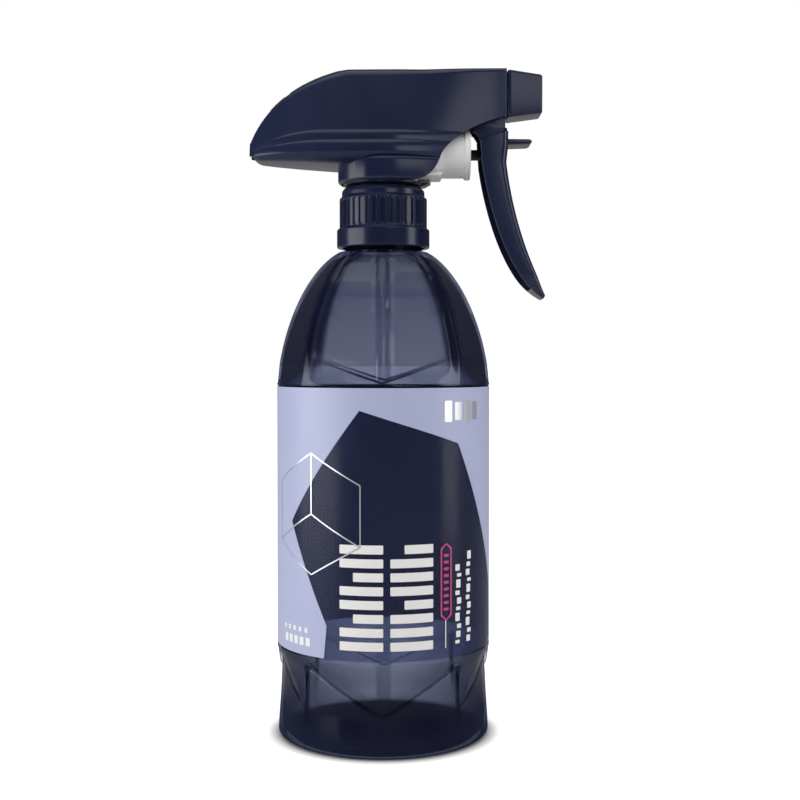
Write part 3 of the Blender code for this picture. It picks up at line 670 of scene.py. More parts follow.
def bottle_rows():
    """Outer rows from the resting ring to the lip; each gives (radius, z) at an angle."""
    def foot(share):
        def row(angle):
            z = mix(HEEL, ramp_height(angle), share)
            return foot_radius(z, angle), z
        return row

    def facet(share):
        def row(angle):
            low = ramp_height(angle)
            high = crease_height(angle)
            start = foot_radius(low, angle) - 0.45 * smooth(1.0, 8.0, fold(angle) % 45.0)
            z = mix(low + 0.3, high, share)
            return mix(min(start, waist_radius(high)), waist_radius(high), share), z
        return row

    def waist(share):
        def row(angle):
            z = mix(crease_height(angle), LABEL_BOTTOM - 1.3, share)
            return waist_radius(z), z
        return row

    def circle(radius, z):
        return lambda angle: (radius, z)

    def shoulder_facet(share):
        def row(angle):
            high = shoulder_edge(angle)
            edge = octagon(shoulder_ridge(high), RIDGE_ROUNDING, angle)
            return mix(LABEL_RADIUS, edge, share), mix(LABEL_TOP + 0.9, high, share)
        return row

    def shoulder(share):
        def row(angle):
            z = mix(shoulder_edge(angle), 158.6, share)
            return octagon(shoulder_ridge(z), RIDGE_ROUNDING, angle), z
        return row

    def neck(z):
        def row(angle):
            return NECK_RADIUS + THREAD_DEPTH * thread_share(angle, z, THREAD_START), z
        return row

    heel = bezier((32.4, 0.0), (33.9, 0.0), (FOOT_RADIUS, 0.7), (FOOT_RADIUS, HEEL), HEEL_ROWS - 1)
    seat = [(LABEL_RADIUS, LABEL_BOTTOM - 0.9), (LABEL_RADIUS, LABEL_BOTTOM - 0.5),
            (WAIST + 0.1, LABEL_BOTTOM - 0.25), (WAIST, LABEL_BOTTOM)]
    rim = [(WAIST, LABEL_TOP), (WAIST + 0.1, LABEL_TOP + 0.2), (LABEL_RADIUS, LABEL_TOP + 0.5)]
    rows = [circle(r, z) for r, z in heel]
    rows += [foot(k / 26.0) for k in range(1, 27)]
    rows += [facet(k / 14.0) for k in range(15)]
    rows += [waist(k / 10.0) for k in range(1, 11)]
    rows += [circle(r, z) for r, z in seat]
    rows += [circle(WAIST, mix(LABEL_BOTTOM, LABEL_TOP, k / 10.0)) for k in range(1, 10)]
    rows += [circle(r, z) for r, z in rim]
    rows += [shoulder_facet(k / 10.0) for k in range(10)]
    rows += [shoulder(k / 64.0) for k in range(65)]
    turn_in = bezier((14.9, 158.9), (13.2, 159.3), (12.4, 159.4), (NECK_RADIUS, 160.4), 6)
    rows += [circle(r, z) for r, z in turn_in]
    rows += [neck(NECK_BASE + 0.8 + 0.3 * k) for k in range(50)]
    rows += [circle(NECK_RADIUS, NECK_TOP - 0.3), circle(NECK_RADIUS - 0.3, NECK_TOP)]
    return rows


def relaxed(grid, passes, keep):
    """Soften a grid of points, columns closed into a ring, where `keep` is below 1."""
    for _ in range(passes):
        across = (np.roll(grid, 1, axis=1) + np.roll(grid, -1, axis=1)) / 2.0
        along = grid.copy()
        along[1:-1] = (grid[2:] + grid[:-2]) / 2.0
        grid = keep * grid + (1.0 - keep) * (across + along) / 2.0
    return grid


def outer_grid(columns):
    """The outer rows as a grid of points, eased everywhere but at the heel, label seat and neck."""
    angles = bottle_angles(columns)
    grid = np.array([[around(angle, *row(angle)) for angle in angles] for row in bottle_rows()])
    heights = grid[:, :, 2:3]
    crisp = (heights < HEEL + 0.3) | ((heights > LABEL_BOTTOM - 1.0) & (heights < LABEL_TOP + 0.7))
    crisp |= heights > 158.8
    return relaxed(grid, 3, np.where(crisp, 1.0, 0.35))


def wall_thickness(z):
    """The wall thickens up the shoulder."""
    return WALL * (1.0 + 0.9 * smooth(125.0, 158.0, z))


def inner_ring(ring, extra=0.0):
    """The same ring on the inside of the wall, `extra` further in."""
    radius = np.hypot(ring[:, 0], ring[:, 1])
    depth = np.array([wall_thickness(z) for z in ring[:, 2]]) + extra
    share = ((radius - depth) / radius)[:, None]
    return np.hstack([ring[:, :2] * share, ring[:, 2:3]])


def bottle_shell():
    """The blown wall: underside, outside, lip, and back down the inside as one closed skin."""
    columns = 288
    angles = bottle_angles(columns)
    grid = outer_grid(columns)
    inside = [inner_ring(ring) for ring in grid[HEEL_ROWS::2] if 4.0 < ring[:, 2].mean() < 157.5]
    under = [(0.6, PUNT_HEIGHT + 0.5), (3.0, PUNT_HEIGHT + 0.5), (3.6, PUNT_HEIGHT), (12.0, PUNT_HEIGHT)]
    under += bezier((21.0, PUNT_HEIGHT - 0.2), (26.0, PUNT_HEIGHT - 0.5), (28.0, 0.0), (30.6, 0.0), 10)
    bore = [(NECK_BORE + 0.3, NECK_TOP), (NECK_BORE, NECK_TOP - 0.3), (NECK_BORE, 166.0),
            (NECK_BORE, NECK_BASE), (11.4, 158.4)]
    floor_top = bezier((33.6, 3.6), (33.2, 1.6), (31.0, WALL), (29.0, WALL), 5)
    floor_top += bezier((27.0, 1.6), (24.0, 3.0), (20.0, PUNT_HEIGHT + 0.8), (12.0, PUNT_HEIGHT + WALL), 6)
    floor_top += [(0.6, PUNT_HEIGHT + WALL)]
    rings = level_rings(under, angles) + list(grid) + level_rings(bore, angles)
    rings += inside[::-1] + level_rings(floor_top, angles)
    attach(skinned("bottle_shell", rings, PET, 50.0), "bottle", "bottle")


def liquid_fill():
    """The contents, against the inside of the wall, with a meniscus round the top."""
    columns = 144
    floor_top = [(0.6, PUNT_HEIGHT + 1.0), (12.0, PUNT_HEIGHT + 1.0), (22.0, PUNT_HEIGHT + 0.5),
                 (29.0, 1.3), (32.6, 2.6)]
    rings = level_rings(floor_top, bottle_angles(columns))
    grid = [ring for ring in outer_grid(columns)[HEEL_ROWS:] if 4.0 < ring[:, 2].mean() < LIQUID_TOP]
    rings += [inner_ring(ring, 0.05) for ring in grid[::2]]
    edge = rings[-1].copy()
    rise = 0.7
    edge[:, :2] *= shoulder_ridge(LIQUID_TOP + rise) / shoulder_ridge(edge[:, 2].mean())
    edge[:, 2] = LIQUID_TOP + rise
    rings.append(edge)
    for inward, drop in ((0.975, 0.42), (0.94, 0.6), (0.88, 0.69), (0.6, rise), (0.1, rise)):
        ring = edge * (inward, inward, 1.0)
        ring[:, 2] -= drop
        rings.append(ring)
    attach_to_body(skinned("liquid_fill", rings, LIQUID, 60.0), "bottle")


# ---------------------------------------------------------------- label

def wrapped(name, outlines, radius, thickness, material, step_deg=1.5):
    """Bend flat outlines, in millimetres round and up the bottle, into a thin film on a cylinder.

    Distance round is measured from the front; an outline inside another one is a hole.
    """
    curve = bpy.data.curves.new(name, "CURVE")
    curve.dimensions = "2D"
    curve.fill_mode = "BOTH"
    curve.extrude = thickness / 2.0
    for outline in outlines:
        spline = curve.splines.new("POLY")
        spline.points.add(len(outline) - 1)
        for point, (s, z) in zip(spline.points, outline):
            point.co = (s, z, 0.0, 1.0)
        spline.use_cyclic_u = True
    flat = add_object(name + "_flat", curve)
    bpy.context.view_layer.update()
    mesh = bpy.data.meshes.new_from_object(flat.evaluated_get(bpy.context.evaluated_depsgraph_get()))
    bpy.data.objects.remove(flat, do_unlink=True)
    bpy.data.curves.remove(curve)
    shape = bmesh.new()
    shape.from_mesh(mesh)
    bmesh.ops.remove_doubles(shape, verts=shape.verts, dist=1e-5)
    low = min(v.co.x for v in shape.verts)
    high = max(v.co.x for v in shape.verts)
    step = math.radians(step_deg) * radius
    for k in range(math.ceil(low / step), math.floor(high / step) + 1):
        everything = list(shape.verts) + list(shape.edges) + list(shape.faces)
        bmesh.ops.bisect_plane(shape, geom=everything, dist=1e-5, plane_co=(k * step, 0, 0),
                               plane_no=(1, 0, 0))
    for vert in shape.verts:
        s, z, depth = vert.co
        reach = radius + thickness / 2.0 + depth
        angle = s / radius
        vert.co = Vector((reach * math.sin(angle), -reach * math.cos(angle), z)) * MM + AXIS
    bmesh.ops.recalc_face_normals(shape, faces=shape.faces)
    shape.to_mesh(mesh)
    shape.free()
    mesh.name = name
    return add_piece(mesh, material, 35.0)


def printed(name, outlines, ink):
    """A mark printed on the label, over its lavender ground."""
    attach(wrapped(name, outlines, MARK_RADIUS, MARK_DEPTH, ink), "bottle", None, "label_film")


def box_outline(s, z, wide, tall, corner=0.0):
    """A rectangle centred on (s, z), with rounded corners where asked."""
    half_wide = wide / 2.0
    half_tall = tall / 2.0
    corners = [(s - half_wide, z - half_tall, corner), (s + half_wide, z - half_tall, corner),
               (s + half_wide, z + half_tall, corner), (s - half_wide, z + half_tall, corner)]
    return rounded(corners, 4)


def stroke_outline(start, stop, width):
    """A straight line of some width, as an outline."""
    along = Vector(stop) - Vector(start)
    side = Vector((-along.y, along.x)).normalized() * width / 2.0
    a, b = Vector(start), Vector(stop)
    return [tuple(a - side), tuple(b - side), tuple(b + side), tuple(a + side)]


def label_sleeve():
    """Clear sleeve, and its lavender print with a clear window."""
    sheet = box_outline(0.0, LABEL_MIDDLE, 2.0 * HALF_ROUND - 0.8, LABEL_HEIGHT)
    film = wrapped("label_film", [sheet], FILM_RADIUS, 0.2, FILM, SHEET_STEP)
    attach(film, "bottle", "label", "label_film")
    low, high = LABEL_BOTTOM + 0.1, LABEL_TOP - 0.1
    side = HALF_ROUND - 0.5
    ground = [(-side, low), (-19.0, low), (-18.0, 41.0), (-33.5, 72.5), (-7.0, 108.0), (26.0, 97.5),
              (48.5, 51.0), (53.0, low), (side, low), (side, high), (-side, high)]
    ink = wrapped("label_print", [softened(ground, 0.25, 3)], FILM_RADIUS + 0.22, 0.1, LAVENDER, SHEET_STEP)
    attach(ink, "bottle", None, "label_film")


def label_figure():
    """Line drawing of a cube: a hexagon and three of its spokes, each line a hair above the last."""
    s, z = hub = (-24.0, 75.5)
    reach = 19.0
    turns = [math.radians(60 * k + 30) for k in range(6)]
    rim = [(s + reach * math.cos(a) * 1.05, z + reach * math.sin(a)) for a in turns]
    lines = list(zip(rim, rim[1:] + rim[:1])) + [(hub, rim[k]) for k in (1, 3, 5)]
    shape = bmesh.new()
    for index, (start, stop) in enumerate(lines):
        line = wrapped("figure_line", [stroke_outline(start, stop, 0.42)], MARK_RADIUS + 0.004 * index,
                       MARK_DEPTH, SILVER_INK)
        shape.from_mesh(line.data)
        bpy.data.objects.remove(line, do_unlink=True)
    mesh = bpy.data.meshes.new("label_figure")
    shape.to_mesh(mesh)
    shape.free()
    attach(add_piece(mesh, SILVER_INK, 35.0), "bottle", None, "label_film")


def label_bars():
    """Silver bars at the top, and two columns of white bars below."""
    silver = [box_outline(22.0 + 4.1 * k, 107.6, 2.9, 6.6 - 0.9 * (k % 2), 0.4) for k in range(4)]
    printed("label_silver_bars", silver, SILVER_INK)
    white = []
    for centre, short_rows in ((-6.5, (2, 5)), (9.5, (3, 7))):
        for row in range(8):
            wide = 9.4 if row in short_rows else 13.8
            white.append(box_outline(centre + (13.8 - wide) / 2.0, 35.4 + 4.28 * row, wide, 2.75, 0.3))
    printed("label_white_bars", white, WHITE_INK)


def label_badge():
    """Pink outlined strip with pointed ends, and a ladder of ticks inside."""
    middle_s, middle_z = 21.2, 54.5
    tall, wide, tip = 10.6, 2.15, 1.6
    lozenge = [(middle_s + side * wide, middle_z + end * tall)
               for side, end in ((-1, -1), (1, -1), (1, 1), (-1, 1))]
    lozenge.insert(1, (middle_s, middle_z - tall - tip))
    lozenge.insert(4, (middle_s, middle_z + tall + tip))
    inner = [(mix(middle_s, s, 0.72), mix(middle_z, z, 0.955)) for s, z in lozenge]
    ticks = [box_outline(middle_s, 46.0 + 2.1 * k, 1.9, 0.9, 0.2) for k in range(9)]
    printed("label_pink_badge", [softened(lozenge), softened(inner)] + ticks, PINK_INK)


def label_dashes():
    """A thin line, two columns of uneven dashes, and two short rows of strokes at the left."""
    dashes = [box_outline(21.0, 38.2, 0.35, 8.8)]
    for column, (s, top) in enumerate(((26.2, 58.6), (31.0, 64.0))):
        z = 34.6
        index = column
        while z < top:
            long = (1.1, 2.0, 1.4, 2.6)[index % 4]
            dashes.append(box_outline(s + 0.35 * (index % 3 - 1), z + long / 2.0, 1.9, long, 0.3))
            z += long + 0.85
            index += 1
    for row, (z, tall) in enumerate(((38.6, 1.5), (35.0, 2.6))):
        for k in range(5):
            dashes.append(box_outline(-38.0 + 2.9 * k + 0.8 * row, z, 1.3 + 0.6 * row, tall, 0.3))
    printed("label_white_dashes", dashes, WHITE_INK)


def label_overlap():
    """The sleeve's glued overlap at the back."""
    strip = box_outline(HALF_ROUND, LABEL_MIDDLE, 5.0, LABEL_HEIGHT - 0.4)
    tab = wrapped("label_overlap", [strip], FILM_RADIUS + 0.335, 0.05, LAVENDER, SHEET_STEP)
    attach(tab, "bottle", None, "label_film")


# ---------------------------------------------------------------- closure

def collar():
    """Screw collar: plain band, ribbed grip with round-ended grooves, shoulder and inner thread."""
    band_top = COLLAR_BOTTOM + 6.0
    grip_top = 176.6
    outside = [
        (COLLAR_ROOT + 0.1, COLLAR_BOTTOM, 0.2), (COLLAR_BAND, COLLAR_BOTTOM, 0.45),
        (COLLAR_BAND, band_top, 0.4), (COLLAR_GRIP, band_top + 0.5, 0.2),
        (COLLAR_GRIP, grip_top, 0.3), (COLLAR_SHOULDER, grip_top + 0.6, 0.3),
        (COLLAR_SHOULDER, 179.1, 0.9), (12.6, COLLAR_TOP, 0.3), (9.7, COLLAR_TOP, 0.3), (9.7, 179.1, 0.1),
        (12.8, 179.1, 0.2), (12.8, 176.9, 0.1), (COLLAR_ROOT, 176.2, 0.2), (COLLAR_ROOT, COLLAR_BOTTOM, 0.2),
    ]
    path = rounded(outside, 4)
    row_height = 0.3
    fine = []
    for (r0, z0), (r1, z1) in zip(path, path[1:] + path[:1]):
        length = math.hypot(r1 - r0, z1 - z0)
        upright = abs(r1 - r0) < 0.3 and length > 1.0
        steps = math.ceil(length / row_height) if upright else 1
        fine += [(mix(r0, r1, k / steps), mix(z0, z1, k / steps)) for k in range(steps)]
    low, high = band_top + 1.5, grip_top - 0.9
    columns = RIBS * 14
    angles = [2.0 * math.pi * k / columns for k in range(columns)]
    pitch = 2.0 * math.pi / RIBS

    def shaped(radius, z, angle):
        """The outline's radius, less a groove of the grip or the height of the inner thread."""
        if radius < COLLAR_ROOT + 0.02:
            threaded = radius > 13.0
            return radius - threaded * 0.85 * thread_share(angle, z, THREAD_START - 0.5 * PITCH)
        if not (band_top + 0.6 < z < grip_top):
            return radius
        aside = ((angle + pitch / 2.0) % pitch - pitch / 2.0) * COLLAR_GRIP
        beyond = max(low - z, z - high, 0.0)
        return radius - GROOVE_DEPTH * (1.0 - smooth(0.40, 0.66, math.hypot(aside, beyond)))

    rings = [[around(angle, shaped(radius, z, angle), z) for angle in angles] for radius, z in fine]
    attach(skinned("collar_ribbed", rings, NAVY, 50.0, looped=True), "collar", "collar")


def closure_parts():
    """Turned parts between the bottle's mouth and the pump."""
    gasket = [(10.8, 176.6), (12.2, 176.6), (12.2, 177.35), (10.8, 177.35)]
    attach(turned("neck_gasket_ring", softened(gasket), RUBBER), "seal", "neck_gasket")
    plug = [(5.6, 171.0), (9.6, 171.0), (10.4, 172.0), (10.4, 177.65), (12.4, 177.65), (12.4, 178.8),
            (9.35, 178.8), (9.35, 181.8), (5.6, 181.8)]
    attach(turned("neck_plug_body", softened(plug), BLACK), "head", "neck_plug")
    ring = [(9.55, 180.55), (12.3, 180.55), (13.3, 181.2), (13.3, 181.8), (9.55, 181.8)]
    ring_body = turned("retaining_ring_body", softened(ring, 0.25), BLACK)
    lug = extruded("lug", [(12.0, 180.7), (13.6, 180.7), (15.7, 181.8), (12.0, 181.8)], -4.0, 4.0, BLACK, 0.3)
    combine(ring_body, [lug], "UNION")
    attach(ring_body, "head", "retaining_ring")
    socket = [(2.75, 167.0), (5.3, 167.0), (5.3, 185.5), (3.0, 185.5), (3.0, 181.5), (1.5, 179.8),
              (1.5, 178.6), (2.75, 178.6)]
    attach(turned("tube_socket_body", softened(socket), WHITE, sides=96), "head", "tube_socket")
    tube = [(1.7, 6.0), (2.6, 6.0)] + [(2.6, z) for z in range(20, 170, 12)] + [(2.6, 178.2), (1.7, 178.2)]
    attach(turned("dip_tube_hose", tube, TUBE, sides=64), "head", "dip_tube", "natural_plastic")


def inlet_ball():
    """Steel ball on its seat at the foot of the pump."""
    mesh = bpy.data.meshes.new("inlet_ball_steel")
    ball = bmesh.new()
    bmesh.ops.create_icosphere(ball, subdivisions=5, radius=2.3 * MM)
    centre = Vector((0.0, 0.0, 181.75)) * MM + AXIS
    bmesh.ops.translate(ball, verts=ball.verts, vec=centre)
    ball.to_mesh(mesh)
    ball.free()
    attach(add_piece(mesh, BALL_STEEL), "inlet_valve", "inlet_ball")


# ---------------------------------------------------------------- pump

def along_x(name, profile, material, z, sides=96):
    """Turn a closed (radius, x) outline about a level axis at height z."""
    return turned(name, profile, material, axis="X", centre=(0.0, 0.0, z), sides=sides)


def rod_profile(x0, x1, radius, corner=0.3):
    """Outline of a plain rod with eased edges."""
    return rounded([(0.0, x0, 0.0), (radius, x0, corner), (radius, x1, corner), (0.0, x1, 0.0)], 2)


def pump_body():
    """White moulding: base plate, riser, cylinder housing, barrel and the trigger's pivot pin."""
    body = turned("pump_body_moulding", rod_profile(183.0, BARREL_Z + 1.0, 5.2), WHITE, sides=96)
    plate = [(2.7, 183.5), (18.8, 183.5), (19.3, 184.0), (19.3, 184.6), (2.7, 184.6)]
    web_back, web_front, web_low = PIVOT_X - 3.2, PIVOT_X + 0.9, PIVOT_Z - 2.4
    web = [(web_back, web_low), (web_front, web_low), (web_front, BARREL_Z - 1.0), (web_back, BARREL_Z - 1.0)]
    added = [
        along_x("barrel", rod_profile(-4.6, 39.2, 3.9), WHITE, BARREL_Z),
        along_x("housing", rod_profile(3.4, 18.9, 8.6, 0.4), WHITE, PUMP_Z, 128),
        turned("base_disc", rod_profile(BOSS_BOTTOM + 0.1, 184.4, 11.6), WHITE, sides=96),
        extruded("front_plate", plate, -8.2, 8.2, WHITE, 0.4),
        extruded("pivot_web", web, -3.1, 3.1, WHITE, 0.3),
        turned("pin", rod_profile(-4.8, 4.8, 1.5), WHITE, axis="Y", centre=(PIVOT_X, 0.0, PIVOT_Z), sides=48),
    ]
    cut = [
        along_x("barrel_bore", [(0.0, -2.6), (2.2, -2.6), (2.2, 24.2), (1.2, 24.2), (1.2, 25.4), (2.9, 25.4),
                                (2.9, 41.0), (0.0, 41.0)], WHITE, BARREL_Z),
        turned("riser_bore", [(0.0, 181.0), (5.6, 181.0), (5.6, 185.75), (1.7, 185.75), (1.7, BARREL_Z - 0.4),
                              (0.0, BARREL_Z - 0.4)], WHITE, sides=96),
        along_x("cylinder_bore", [(0.0, -0.5), (1.1, -0.5), (1.1, 6.3), (7.75, 6.3), (7.75, 21.0),
                                  (0.0, 21.0)], WHITE, PUMP_Z, 128),
    ]
    combine(body, added, "UNION")
    combine(body, cut, "DIFFERENCE")
    attach(body, "head", "pump_body")


def coil(name, node, x0, x1, radius, wire, turns, z):
    """A round-wire spring along X with closed ends.
    """
    per_turn, sides = 40, 12
    steps = int(turns * per_turn)
    span = x1 - x0 - 2.0 * wire
    rings = []
    for k in range(steps + 1):
        angle = 2.0 * math.pi * k / per_turn
        share = k / steps
        x = x0 + wire + span * mix(share, smooth(0.0, 1.0, share), 0.35)
        ring = []
        for s in range(sides):
            phase = 2.0 * math.pi * s / sides
            reach = radius + wire * math.cos(phase)
            ring.append(place("X", (0.0, 0.0, z), x + wire * math.sin(phase), reach, angle))
        rings.append(ring)
    made = skinned(name, rings, STEEL, 80.0)
    attach(made, "head", node)
    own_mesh(made)


def pump_parts():
    """Cylinder, piston and its seal, outlet poppet, nozzle core and its seal, and the two springs."""
    cylinder = [(1.1, 6.5), (7.6, 6.5), (7.6, 26.6), (8.2, 26.8), (8.2, 28.6), (6.4, 28.6), (6.4, 7.8),
                (1.1, 7.8)]
    rod = [(0.0, 19.6), (4.7, 19.6), (4.7, 21.2), (6.15, 21.5), (6.15, 23.2), (1.75, 23.9), (1.75, 37.6),
           (1.2, 38.2), (0.0, 38.4)]
    seal = [(4.9, 19.5), (6.1, 19.5), (6.25, 19.9), (6.15, 21.1), (4.9, 21.0)]
    valve = [(0.0, 25.9), (1.6, 25.9), (2.5, 26.8), (2.5, 28.4), (1.1, 28.4), (1.1, 29.8), (0.0, 29.8)]
    core = [(0.0, 34.6), (2.7, 34.6), (2.7, 39.5), (4.9, 39.5), (4.9, 40.2), (3.2, 40.3), (3.2, 43.4),
            (2.6, 43.6), (2.6, 45.4), (3.2, 45.6), (3.2, 48.6), (0.0, 48.6)]
    ring = [(2.85, 43.8), (4.1, 43.8), (4.1, 45.2), (2.85, 45.2)]
    tube = softened(cylinder, 0.25, 3)
    for name, profile, material, z, sides, body, node in (
            ("pump_cylinder_body", tube, PUMP_WHITE, PUMP_Z, 144, "head", "pump_cylinder"),
            ("piston_rod", softened(rod), BLACK, PUMP_Z, 96, "plunger", "piston"),
            ("piston_seal_ring", softened(seal, 0.15), RUBBER, PUMP_Z, 96, "plunger", "piston_seal"),
            ("outlet_poppet", softened(valve, 0.15), NATURAL, BARREL_Z, 64, "outlet_poppet", "outlet_valve"),
            ("nozzle_core", softened(core, 0.12), WHITE, BARREL_Z, 96, "head", "nozzle_base"),
            ("nozzle_seal_ring", softened(ring, 0.4, 4), RUBBER, BARREL_Z, 96, "head", "nozzle_seal")):
        attach(along_x(name, profile, material, z, sides), body, node)
    coil("return_spring_coil", "return_spring", x0=8.1, x1=19.2, radius=4.0, wire=0.4,
         turns=6.0, z=PUMP_Z)
    coil("outlet_spring_coil", "outlet_spring", x0=30.0, x1=34.3, radius=1.8, wire=0.28,
         turns=4.0, z=BARREL_Z)


# ---------------------------------------------------------------- hood

def hood_top(x):
    """Height of the hood's top line: flat in front and rounded down to the tail."""
    if x > -11.6:
        return HOOD_TOP - 0.3 + 0.3 * (x + 11.6) / 52.0
    path = bezier((TAIL_X + 0.2, TAIL_TOP), (-39.4, 205.0), (-29.6, 214.4), (-11.6, HOOD_TOP - 0.3), 60)
    for (xa, za), (xb, zb) in zip(path, path[1:]):
        if xa <= x <= xb:
            return mix(za, zb, (x - xa) / (xb - xa))
    return TAIL_TOP


def hood_bottom(x):
    """Height of the hood's lower line: nearly level, with a rounded corner at the tail."""
    corner_x = -39.7
    level_x = -14.0
    if x < corner_x:
        part = min((corner_x - x) / (corner_x - TAIL_X), 1.0)
        return TAIL_BOTTOM + 5.0 * (1.0 - math.sqrt(1.0 - part * part))
    return mix(TAIL_BOTTOM, HOOD_BOTTOM, min((x - corner_x) / (level_x - corner_x), 1.0))


def hood_half_width(x):
    """Greatest half width: full over the neck, slim at the nozzle and rounded at the tail."""
    if x >= 0.0:
        return HOOD_HALF_WIDTH - 8.0 * smooth(2.0, 38.0, x)
    return HOOD_HALF_WIDTH * math.sqrt(max(1.0 - (abs(x) / 44.6) ** 2.6, 0.02))


def hood_creases(x, low, top):
    """Heights of the three side creases, which run together towards the tail."""
    back = (max(-20.0 - x, 0.0) / 22.7) ** 2
    room = top - low
    heights = (190.1, 194.2 - 2.7 * back, 197.5 - 5.0 * back)
    shares = (0.30, 0.52, 0.70)
    return [min(h, low + room * s) for h, s in zip(heights, shares)]


def grip_pad(x):
    """Height of the two shallow pads on the hood's back."""
    rise, fall, rise_again = (smooth(start, start + 0.4, x) for start in PAD_ENDS)
    return 0.38 * (rise * (1.0 - fall) + rise_again * (1.0 - smooth(-15.0, -11.0, x)))


def hood_section(x, inset=0.0):
    """Closed section of the hood at x: belly, two stepped ledges, leaning side and crowned top."""
    top = hood_top(x) - inset
    low = hood_bottom(x) + inset
    wide = hood_half_width(x) - inset
    room = max(top - low, 0.1)
    c3, c2, c1 = hood_creases(x, low, top)
    slim = smooth(10.0, 38.0, x)
    scale = min(room / 30.0, 1.0)
    pad = grip_pad(x) if inset == 0.0 else 0.0
    full = [
        (0.0, low, 0.0), (0.80, low, 5.0), (1.0, c3, 0.5), (0.985, mix(c3, c2, 0.55), 1.2),
        (0.968, c2 - 0.9 * scale, 0.5), (0.925, c2, 0.2), (0.92, mix(c2, c1, 0.45), 1.0),
        (0.905, c1 - 0.9 * scale, 0.5), (0.86, c1, 0.2), (0.60, top - 1.5 * scale, 1.4),
        (0.40, top - 0.2 * scale, 0.3), (0.30, top + pad, 0.2), (0.0, top + pad + 0.01, 0.0),
    ]
    flat = [
        (0.0, low, 0.0), (0.90, low, 3.0), (1.0, c3, 0.5), (1.0, mix(c3, c2, 0.55), 0.5),
        (1.0, c2 - 0.9, 0.3), (1.0, c2, 0.2), (1.0, mix(c2, c1, 0.45), 0.5),
        (1.0, c1 - 0.9, 0.3), (1.0, c1, 0.2), (1.0, top - 0.9, 1.0),
        (0.88, top, 0.5), (0.30, top, 0.2), (0.0, top + 0.01, 0.0),
    ]
    ease = min(room / 12.0, 1.0)
    half = [(wide * mix(u0, u1, slim), mix(z0, z1, slim), mix(r0, r1, slim) * ease)
            for (u0, z0, r0), (u1, z1, r1) in zip(full, flat)]
    return mirrored(x, rounded(half, 4, closed=False))


def stations(marks, step):
    """Positions from the first mark to the last, at most `step` apart."""
    places = []
    for a, b in zip(marks, marks[1:]):
        count = max(1, math.ceil((b - a) / step))
        places += [mix(a, b, k / count) for k in range(count)]
    return places + [marks[-1]]


def skirt_outline(half, low, inset=0.0):
    """Half outline of the skirt, `half` wide: eased below, with a sloping shoulder above."""
    (in0, z0, r0), (in1, z1, r1) = SKIRT_EDGE
    return [(0.0, low, 0.0), (half - 0.8, low, 0.3), (half, low + 0.7, 0.5),
            (half - in0, z0 - inset, r0), (half - in1, z1 - inset, r1), (0.0, z1 - inset, 0.0)]


def side_apron(name, inset, low):
    """The skirt's sides carried forward over the pump, under the same sloping shoulder."""
    rings = []
    for x in stations([0.0, 22.0], 1.5):
        half = min(hood_half_width(x) + 0.3, BOSS_RADIUS) - inset
        rings.append(mirrored(x, rounded(skirt_outline(half, low, inset), 4, closed=False)))
    return skinned(name, rings, NAVY)


def hood():
    """Outer cover: a hood over the pump with a round skirt over the closure."""
    tail = [TAIL_X + d for d in (0.0, 0.12, 0.3, 0.6, 1.0, 1.5, 2.1)]
    pad_edges = [x + d for x in PAD_ENDS for d in (0.0, 0.2, 0.4)]
    outer_x = tail[:-1] + stations([tail[-1], -39.0] + pad_edges + [-20.0, 10.0, 38.0, SEAM_X], 0.9)
    body = skinned("hood_cover", [hood_section(x) for x in outer_x], NAVY)
    inner_x = [-41.5, -39.0] + stations([-36.0, 42.0], 3.0)
    hollow = skinned("hollow", [hood_section(x, HEAD_WALL) for x in inner_x], NAVY)
    skirt = turned("skirt", rounded(skirt_outline(BOSS_RADIUS, SKIRT_BOTTOM), 4), NAVY, sides=192)
    apron = side_apron("apron", 0.0, SKIRT_BOTTOM)
    apron_hollow = side_apron("apron_hollow", HEAD_WALL, SKIRT_BOTTOM - 1.0)
    bore = turned("skirt_bore", [(0.0, SKIRT_BOTTOM - 1.0), (BOSS_RADIUS - HEAD_WALL, SKIRT_BOTTOM - 1.0),
                                 (BOSS_RADIUS - HEAD_WALL, 190.0), (0.0, 190.0)], NAVY, sides=192)
    upper = bezier((SEAM_X + 3.0, 203.6), (27.6, 201.0), (20.6, 193.2), (19.2, 190.7), 28)
    lower = bezier((19.2, 190.7), (17.7, 187.4), (16.8, 182.6), (10.4, 181.5), 20)
    mouth = extruded("mouth", upper + lower[1:] + [(10.4, 170.0), (SEAM_X + 3.0, 170.0)], -20.0, 20.0, NAVY)
    gap = extruded("gap", [(4.0, 180.0), (22.0, 180.0), (22.0, 193.0), (4.0, 193.0)], -8.9, 8.9, NAVY)
    combine(body, [skirt, apron], "UNION")
    combine(body, [hollow, bore, apron_hollow, mouth, gap], "DIFFERENCE")
    attach(body, "head", "shroud")


# ---------------------------------------------------------------- trigger and nozzle

def lever_grip():
    """Rear point, front point and half width along the curved grip, from the tip upwards."""
    steps = 40
    front = bezier((53.2, 144.6), (47.5, 156.5), (42.4, 169.9), (40.2, 187.8), steps)
    rear = bezier((52.4, 143.7), (39.9, 150.5), (33.7, 175.8), (32.0, 187.8), steps)
    tip_narrowing = 3.6
    marks = []
    for k in range(steps + 1):
        half = LEVER_HALF_WIDTH - tip_narrowing * (1.0 - smooth(0.0, 0.22, k / steps))
        marks.append((rear[k], front[k], half))
    return marks


